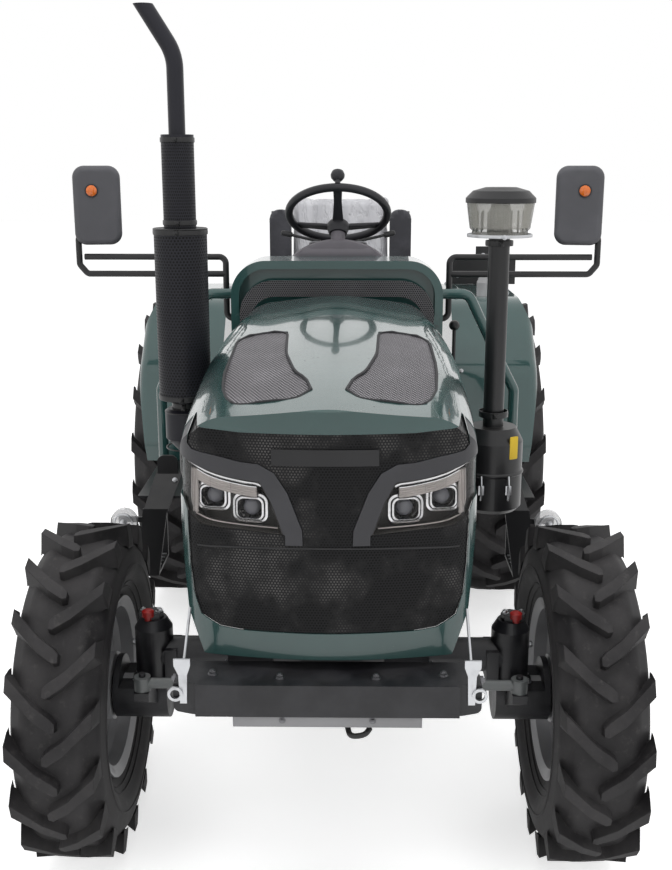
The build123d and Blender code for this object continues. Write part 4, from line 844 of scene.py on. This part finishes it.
panel = Surface("dash")
dials, faces = Shapes(), Shapes()
for y, radius in ((0, 44), (-72, 25), (72, 25)):
    seat = panel.hit((-160, y, 1700), (0.15, 0, -1), 1)
    if seat:
        place = facing(seat, (-0.45, 0, 0.9))
        rim = [(radius, -3), (radius, 2), (radius - 3, 3), (radius - 5, 2), (radius - 6, 0)]
        dials.turned(rim, place, 40)
        faces.turned([(radius - 5, 1), (radius - 6, 2.6), (0, 2.6)], place, 40)
        for i in range(9):
            a = math.radians(-210 + 30 * i)
            tick = Matrix.Translation(((radius - 12) * math.cos(a), (radius - 12) * math.sin(a), 3))
            dials.box(6, 1.6, 0.8, place @ tick @ Matrix.Rotation(a, 4, "Z"), 0.2, 0.4)
        needle = Matrix.Rotation(0.8, 4, "Z") @ Matrix.Translation((radius * 0.3, 0, 3.4))
        dials.box(radius * 0.7, 2, 1, place @ needle, 0.2, 0.5)
dials.done("dash_gauges", dark_zinc)
faces.done("dash_gauge_faces", black_plastic)
stalks = Shapes()
for y in (-1, 1):
    stalks.tube([(-150, y * 60, 1440), (-165, y * 120, 1452), (-175, y * 165, 1462)], 5, 20)
    stalks.turned([(0, -4), (9, -4), (10, 6), (9, 30), (5, 34), (0, 34)],
                  toward((-173, y * 160, 1461), (-10, y * 45, 10)), 20)
stalks.done("column_stalks", black_plastic)
key_at = panel.hit((-400, -95, 1300), forward)
key = Shapes().turned([(17, -2), (17, 4), (13, 7), (0, 7)], toward(key_at, rearward), 28)
key.box(22, 5, 18, facing(key_at + Vector((-14, 0, 0)), rearward), 1.5)
key.done("ignition_key", chrome)
knobs = Shapes()
for y in (-40, 0, 40, 95):
    seat = panel.hit((-400, y, 1220), forward)
    if seat:
        knobs.turned([(6, -2), (6, 10), (12, 12), (13, 20), (9, 24), (0, 24)], toward(seat, rearward), 20)
knobs.done("dash_knobs", red_plastic)
boot = [(44, 0), (44, 4), (34, 12), (36, 18), (26, 26), (28, 32), (18, 42), (14, 52), (0, 52)]
Shapes().turned(boot, Matrix.Translation((-285, 0, 801)), 32).done("gear_lever_boot", hard_rubber)


# ---------------------------------------------------------------- seat
pad_voxel, pad_voxel_quick = 0.006, 0.012
pad_gap, pad_cap, pad_pressure, pad_frames = 0.010, 0.014, 4, 20


def swollen(name, node, finish, seams):
    """Padded piece grown from its CAD solid: remeshed, blown up as cloth, with seams pressed in.

    A seam is an axis, its place from the middle along that axis, its half width and its depth.
    """
    data = nodes[node].data.copy()
    pad = bpy.data.objects.new(name, data)
    bpy.context.collection.objects.link(pad)
    middle = sum((v.co for v in data.vertices), Vector()) / len(data.vertices)
    spread = [max(abs(v.co[i] - middle[i]) for v in data.vertices) for i in range(3)]
    for v in data.vertices:
        for i in range(3):
            v.co[i] = middle[i] + (v.co[i] - middle[i]) * (1 - pad_gap / spread[i])
    remesh = pad.modifiers.new("even", "REMESH")
    remesh.mode = "VOXEL"
    remesh.voxel_size = pad_voxel
    bpy.context.view_layer.objects.active = pad
    bpy.ops.object.modifier_apply(modifier="even")
    before = [v.co.copy() for v in pad.data.vertices]
    cloth = pad.modifiers.new("cloth", "CLOTH")
    cloth.settings.use_pressure = True
    cloth.settings.uniform_pressure_force = pad_pressure
    cloth.settings.effector_weights.gravity = 0
    for frame_number in range(1, pad_frames + 1):
        bpy.context.scene.frame_set(frame_number)
    bpy.ops.object.modifier_apply(modifier="cloth")
    bpy.context.scene.frame_set(1)
    for v, start in zip(pad.data.vertices, before):
        moved = v.co - start
        if moved.length > pad_cap:
            v.co = start + moved.normalized() * pad_cap
        for axis, at, width, depth in seams:
            away = abs(v.co[axis] - middle[axis] - at)
            if away < width:
                v.co += (middle - v.co).normalized() * depth * (1 - away / width) ** 2
    relax = pad.modifiers.new("relax", "SMOOTH")
    relax.factor = 0.5
    relax.iterations = 12
    bpy.ops.object.modifier_apply(modifier="relax")
    finer = pad.modifiers.new("finer", "SUBSURF")
    finer.levels = finer.render_levels = 1
    bpy.ops.object.modifier_apply(modifier="finer")
    pad.data.materials.clear()
    pad.data.materials.append(finish)
    pad.data.polygons.foreach_set("use_smooth", [True] * len(pad.data.polygons))
    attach(pad, "root")
    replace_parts(pad, node)


swollen("seat_cushion_pad", "seat_cushion", seat_vinyl,
        ((1, 0.12, 0.02, 0.008), (1, -0.12, 0.02, 0.008), (0, -0.06, 0.018, 0.006)))
swollen("seat_back_pad", "seat_back", seat_film,
        ((1, 0.11, 0.02, 0.007), (1, -0.11, 0.02, 0.007), (2, 0.06, 0.018, 0.006)))
piping = Shapes()
for z, grow in ((1122, 0), (1192, -6)):
    outline = [(-745 + x, y, z) for x, y in rounded(376 + 2 * grow, 436 + 2 * grow, 50, 6)]
    piping.tube(outline + outline[:1], 4, 1, 8)
piping.done("cushion_piping", seat_vinyl, "root", "seat_cover")
side_pad = [(x, z + 1312) for x, z in rounded(84, 408, 34, 8)]
for sign, side in sides:
    Shapes().slab(side_pad, -32, 40, facing((-898, sign * 240, 0), forward), 18, 5).done(
        f"seat_side_pad_{side}", pad_vinyl)


# ---------------------------------------------------------------- mirrors, rails, fenders, steps
def mirror_trim(sign, side):
    """Round reflector with its rim on the front of a mirror, and the glass on its back."""
    heads = Surface("mirrors")
    eye = (300, sign * 786, 1610)
    front = heads.hit(eye, rearward, 0.5)
    disc = toward(front, front - heads.hit(eye, rearward, -1))
    Shapes().turned([(17, -1.5), (17, 3), (14, 5), (0, 6)], disc, 32).done(
        f"mirror_reflector_{side}", amber_lens)
    Shapes().turned([(21, -1.5), (21, 2), (17, 2.5), (17, -1)], disc, 32).done(
        f"mirror_reflector_rim_{side}", black_plastic)
    pane = bmesh.new()
    edge = [heads.hit((-400, sign * (775 + x * 0.9), 1563 + z * 0.92), forward, 0.8)
            for x, z in rounded(140, 235, 34, 5)]
    pane.faces.new([pane.verts.new(p) for p in edge])
    bmesh.ops.solidify(pane, geom=pane.faces[:], thickness=-1.5)
    Shapes().take(pane, Matrix.Identity(4)).done(f"mirror_glass_{side}", mirror_glass)


def fender_trim(sign, side):
    """Two pressed lines along the top of a fender, and its bolts."""
    guard = Surface(f"fender_{side}")
    for name, y in (("fender_swage", 560), ("fender_swage_inner", 460)):
        line = [guard.hit((x, sign * y, 1500), downward, 0.4) for x in range(-880, -360, 20)]
        Shapes().tube([p for p in line if p], 2.2, 8, 8).done(f"{name}_{side}", green_paint)
    studs = Shapes()
    studs.bolts_on(guard, [(x, sign * 425, 1500) for x in (-860, -700, -540, -400)], downward, 10)
    studs.bolts_on(guard, [(300, sign * 425, z) for z in (760, 880, 1000)], rearward, 10, axis=(1, 0, 0.2))
    studs.done(f"fender_bolts_{side}", bright_zinc)


def step_trim(sign, side):
    """Ribs of the floor mat, treads and bolts of the step, and the rim of its lamp."""
    board = Surface("footboards")
    ribs = Shapes()
    for i in range(9):
        y = sign * (240 + i * 40)
        line = [board.hit((x, y, 1000), downward, 0.4) for x in range(-400, 280, 40)]
        line = [p for p in line if p and 690 < p.z < 715]
        if len(line) > 1:
            ribs.tube([line[0], line[-1]], 4.5, 5, 6, 0.6)
    ribs.done(f"foot_mat_{side}", hard_rubber)
    tread = Shapes()
    for x in range(216, 377, 32):
        seat = board.hit((x, sign * 590, 600), downward, 0.4)
        if seat:
            tread.tube([(x, sign * 553, seat.z), (x, sign * 605, seat.z)], 4.5, 5, 6, 0.6)
    tread.done(f"step_tread_{side}", bright_zinc)
    riser = [(700, sign * y, z) for y, z in ((500, 740), (580, 700), (500, 520), (590, 520))]
    Shapes().bolts_on(board, riser, rearward, 11, axis=(1, 0, 0.1)).done(f"step_bolts_{side}", bright_zinc)
    lamp = toward(Surface("marker_lamps").hit((800, sign * 645, 634), rearward), forward)
    bezel = Shapes().turned([(29, -6), (29.5, 1), (26, 2.5), (24, 0)], lamp, 36)
    bezel.turned([(12, 0), (10, 4), (0, 6)], lamp, 24).done(f"step_lamp_bezel_{side}", bright_zinc)


for sign, side in sides:
    mirror_trim(sign, side)
    fender_trim(sign, side)
    step_trim(sign, side)

rails = Surface("grab_rails")
feet = Shapes()
for sign, side in sides:
    for z in (1290, 1240):
        seat = rails.near((70, sign * 330, z))
        feet.turned([(20, 0), (20, 4), (0, 4)], toward((seat.x, sign * 331, seat.z), (0, sign, 0)), 24)
feet.done("rail_flanges", green_paint)


# ---------------------------------------------------------------- engine bay, rear
clamp = [(17, -6), (19, -6), (19, 6), (17, 6)]
clamps = Shapes()
for at, axis in (((1120, 88, 1175), forward), ((930, 88, 1160), (1, 0, 0.4))):
    clamps.turned(clamp, toward(at, axis), 32)
clamps.done("coolant_clamps", bright_zinc)

battery = Surface("battery")
posts = Shapes()
for sign, side in sides:
    seat = battery.hit((1325, sign * 130, 1200), downward)
    posts.turned([(9, -1), (9, 14), (0, 15)], toward(seat, upward), 20)
    posts.box(34, 22, 12, Matrix.Translation(seat + Vector((0, 0, 9))), 2)
    posts.bolt(seat + Vector((24, 0, 10)), forward, 8)
posts.done("battery_terminals", bright_zinc)

# x, head's y, pull ring's y, z, side that the head looks to
pin_places = ((-940, 196, 207, 430, 1), (-940, -196, -207, 430, -1), (-1018, 44, 54, 795, 1))
pins = Shapes()
for x, head_y, ring_y, z, sign in pin_places:
    pins.turned([(0, -2), (17, -2), (17, 5), (0, 5)], toward((x, head_y, z), (0, sign, 0)), 24)
    pins.ring(14, 2, toward((x, ring_y, z - 10), forward), 32, 8)
pins.done("hitch_pins", bright_zinc)

case = Surface("gearbox")
studs = Shapes()
rear_cover = [(-1400, y, z) for y, z in ((-150, 470), (150, 470), (-150, 640), (150, 640), (-150, 800),
                                         (150, 800), (-95, 900), (95, 900))]
studs.bolts_on(case, rear_cover, forward, 17, fits=lambda seat: seat.x < -1000)
for sign, side in sides:
    inward = (0, -sign, 0)
    axle_tube = [(rear_axle.x + x, sign * 600, rear_axle.z + z) for x, z in ring_points(96, 10)]
    studs.bolts_on(case, axle_tube, inward, 14, fits=lambda seat: abs(seat.y) > 150)
    joints = ((-100, 760), (-100, 480), (250, 520), (250, 700), (50, 500), (50, 740))
    studs.bolts_on(case, [(x, sign * 600, z) for x, z in joints], inward, 15)
studs.done("gearbox_bolts", bright_zinc)
couplers = Shapes()
for y in (-70, -30, 30, 70):
    seat = case.hit((-1400, y, 905), forward)
    if seat:
        couplers.turned([(0, -2), (17, -2), (17, 16), (13, 18), (13, 34), (10, 38), (0, 38)],
                        toward(seat, rearward), 6 if abs(y) > 50 else 28)
couplers.done("hydraulic_couplers", dark_zinc)

for sign, side in sides:
    back = facing((-1140, sign * 580, 1149.5), rearward)
    base = Shapes().slab(rounded(128, 88, 8), -100, -78, back, 3)
    base.box(4, 78, 3, back @ Matrix.Translation((18 * sign, 0, 0)), 0.8, 1)
    base.done(f"tail_lamp_base_{side}", black_plastic)
    amber = Shapes().slab(rounded(36, 70, 4), -1, 1.5, back @ Matrix.Translation((40 * sign, 0, 0)), 0.8)
    amber.done(f"tail_lamp_turn_{side}", amber_lens, "root", "red_lens")
    ribs = Shapes()
    for x in (-50, 10):
        ribs.turned([(4, -1), (4, 1.2), (0, 2)], back @ Matrix.Translation((x * sign, -32, 0)), 16)
    for i in range(6):
        ribs.box(56, 1.6, 1.6, back @ Matrix.Translation((-20 * sign, -22 + i * 9, 0.4)), 0.4, 0.6)
    ribs.done(f"tail_lamp_ribs_{side}", red_lens, "root", "red_lens")
bracket_face = [(0, y, z) for y in (470, 570, 670) for z in (1260, 1340)]
Shapes().bolts_on(Surface("plate_bracket"), bracket_face, rearward, 12).done(
    "plate_bracket_bolts", bright_zinc)


# ---------------------------------------------------------------- room, light and camera
def shade_of_room(name, seen, lit):
    """A plain white room: seen is its brightness where it shows, lit where it only lights things."""
    world = bpy.data.worlds.new(name)
    world.use_nodes = True
    tree = world.node_tree
    path = tree.nodes.new("ShaderNodeLightPath")
    mix = tree.nodes.new("ShaderNodeMixShader")
    shown = tree.nodes.new("ShaderNodeBackground")
    shown.inputs["Color"].default_value = (1, 1, 1, 1)
    shown.inputs["Strength"].default_value = seen
    light = tree.nodes["Background"]
    light.inputs["Color"].default_value = (1, 1, 1, 1)
    light.inputs["Strength"].default_value = lit
    either = path.outputs["Is Camera Ray"]
    for ray in ("Is Glossy Ray", "Is Transmission Ray"):
        more = tree.nodes.new("ShaderNodeMath")
        more.operation = "MAXIMUM"
        tree.links.new(either, more.inputs[0])
        tree.links.new(path.outputs[ray], more.inputs[1])
        either = more.outputs[0]
    tree.links.new(either, mix.inputs[0])
    tree.links.new(light.outputs[0], mix.inputs[1])
    tree.links.new(shown.outputs[0], mix.inputs[2])
    tree.links.new(mix.outputs[0], tree.nodes["World Output"].inputs["Surface"])
    bpy.context.scene.world = world


def softbox(name, place, aim, width, height, power):
    """A lamp of that size at the place, turned to its aim; it leaves no patch on glossy paint."""
    light = bpy.data.lights.new(name, "AREA")
    light.shape = "RECTANGLE"
    light.size = width
    light.size_y = height
    light.energy = power
    lamp = bpy.data.objects.new(name, light)
    bpy.context.collection.objects.link(lamp)
    lamp.location = place
    lamp.visible_glossy = False
    lamp.rotation_euler = (Vector(aim) - Vector(place)).to_track_quat("-Z", "Y").to_euler()


def floor(glow):
    """Wide pale ground that keeps the tractor's shadow."""
    bpy.ops.mesh.primitive_plane_add(size=60)
    ground = bpy.context.object
    ground.name = "floor"
    pale = Finish("pale floor", (0.86, 0.86, 0.86), 0.9, Emission_Strength=1.0)
    seen = pale.node("LightPath")
    seen = seen.math("MAXIMUM", seen, seen.out(3) * 0.45)
    worn = pale.noise(0.7, 2)
    pale.set(Base_Color=pale.blend(worn * 0.1, (0.86, 0.86, 0.86), (0.8, 0.8, 0.8)),
             Emission_Color=pale.blend(seen, (0, 0, 0), (glow, glow, glow)))
    ground.data.materials.append(pale.material)


shade_of_room("studio", 1.0, 0.47)
softbox("overhead", (1.5, 0, 5.0), (0, 0, 0.8), 4.0, 3.0, 120)
softbox("front left", (5.0, 3.5, 3.2), (0.8, 0, 0.7), 2.5, 2.5, 60)
softbox("front right", (5.0, -3.5, 3.2), (0.8, 0, 0.7), 2.5, 2.5, 50)
softbox("rear", (-4.5, 2.0, 3.5), (-0.5, 0, 0.9), 2.5, 2.5, 60)
floor(0.62)

lens, stand, dip, heading = 45.5, (3.5925, 0.048, 1.69), 13.8, 90.84
camera_data = bpy.data.cameras.new("camera")
camera_data.lens = lens
camera = bpy.data.objects.new("camera", camera_data)
bpy.context.collection.objects.link(camera)
camera.location = stand
camera.rotation_euler = (math.radians(90 - dip), 0, math.radians(heading))
bpy.context.scene.camera = camera
bpy.context.scene.view_settings.view_transform = "Standard"
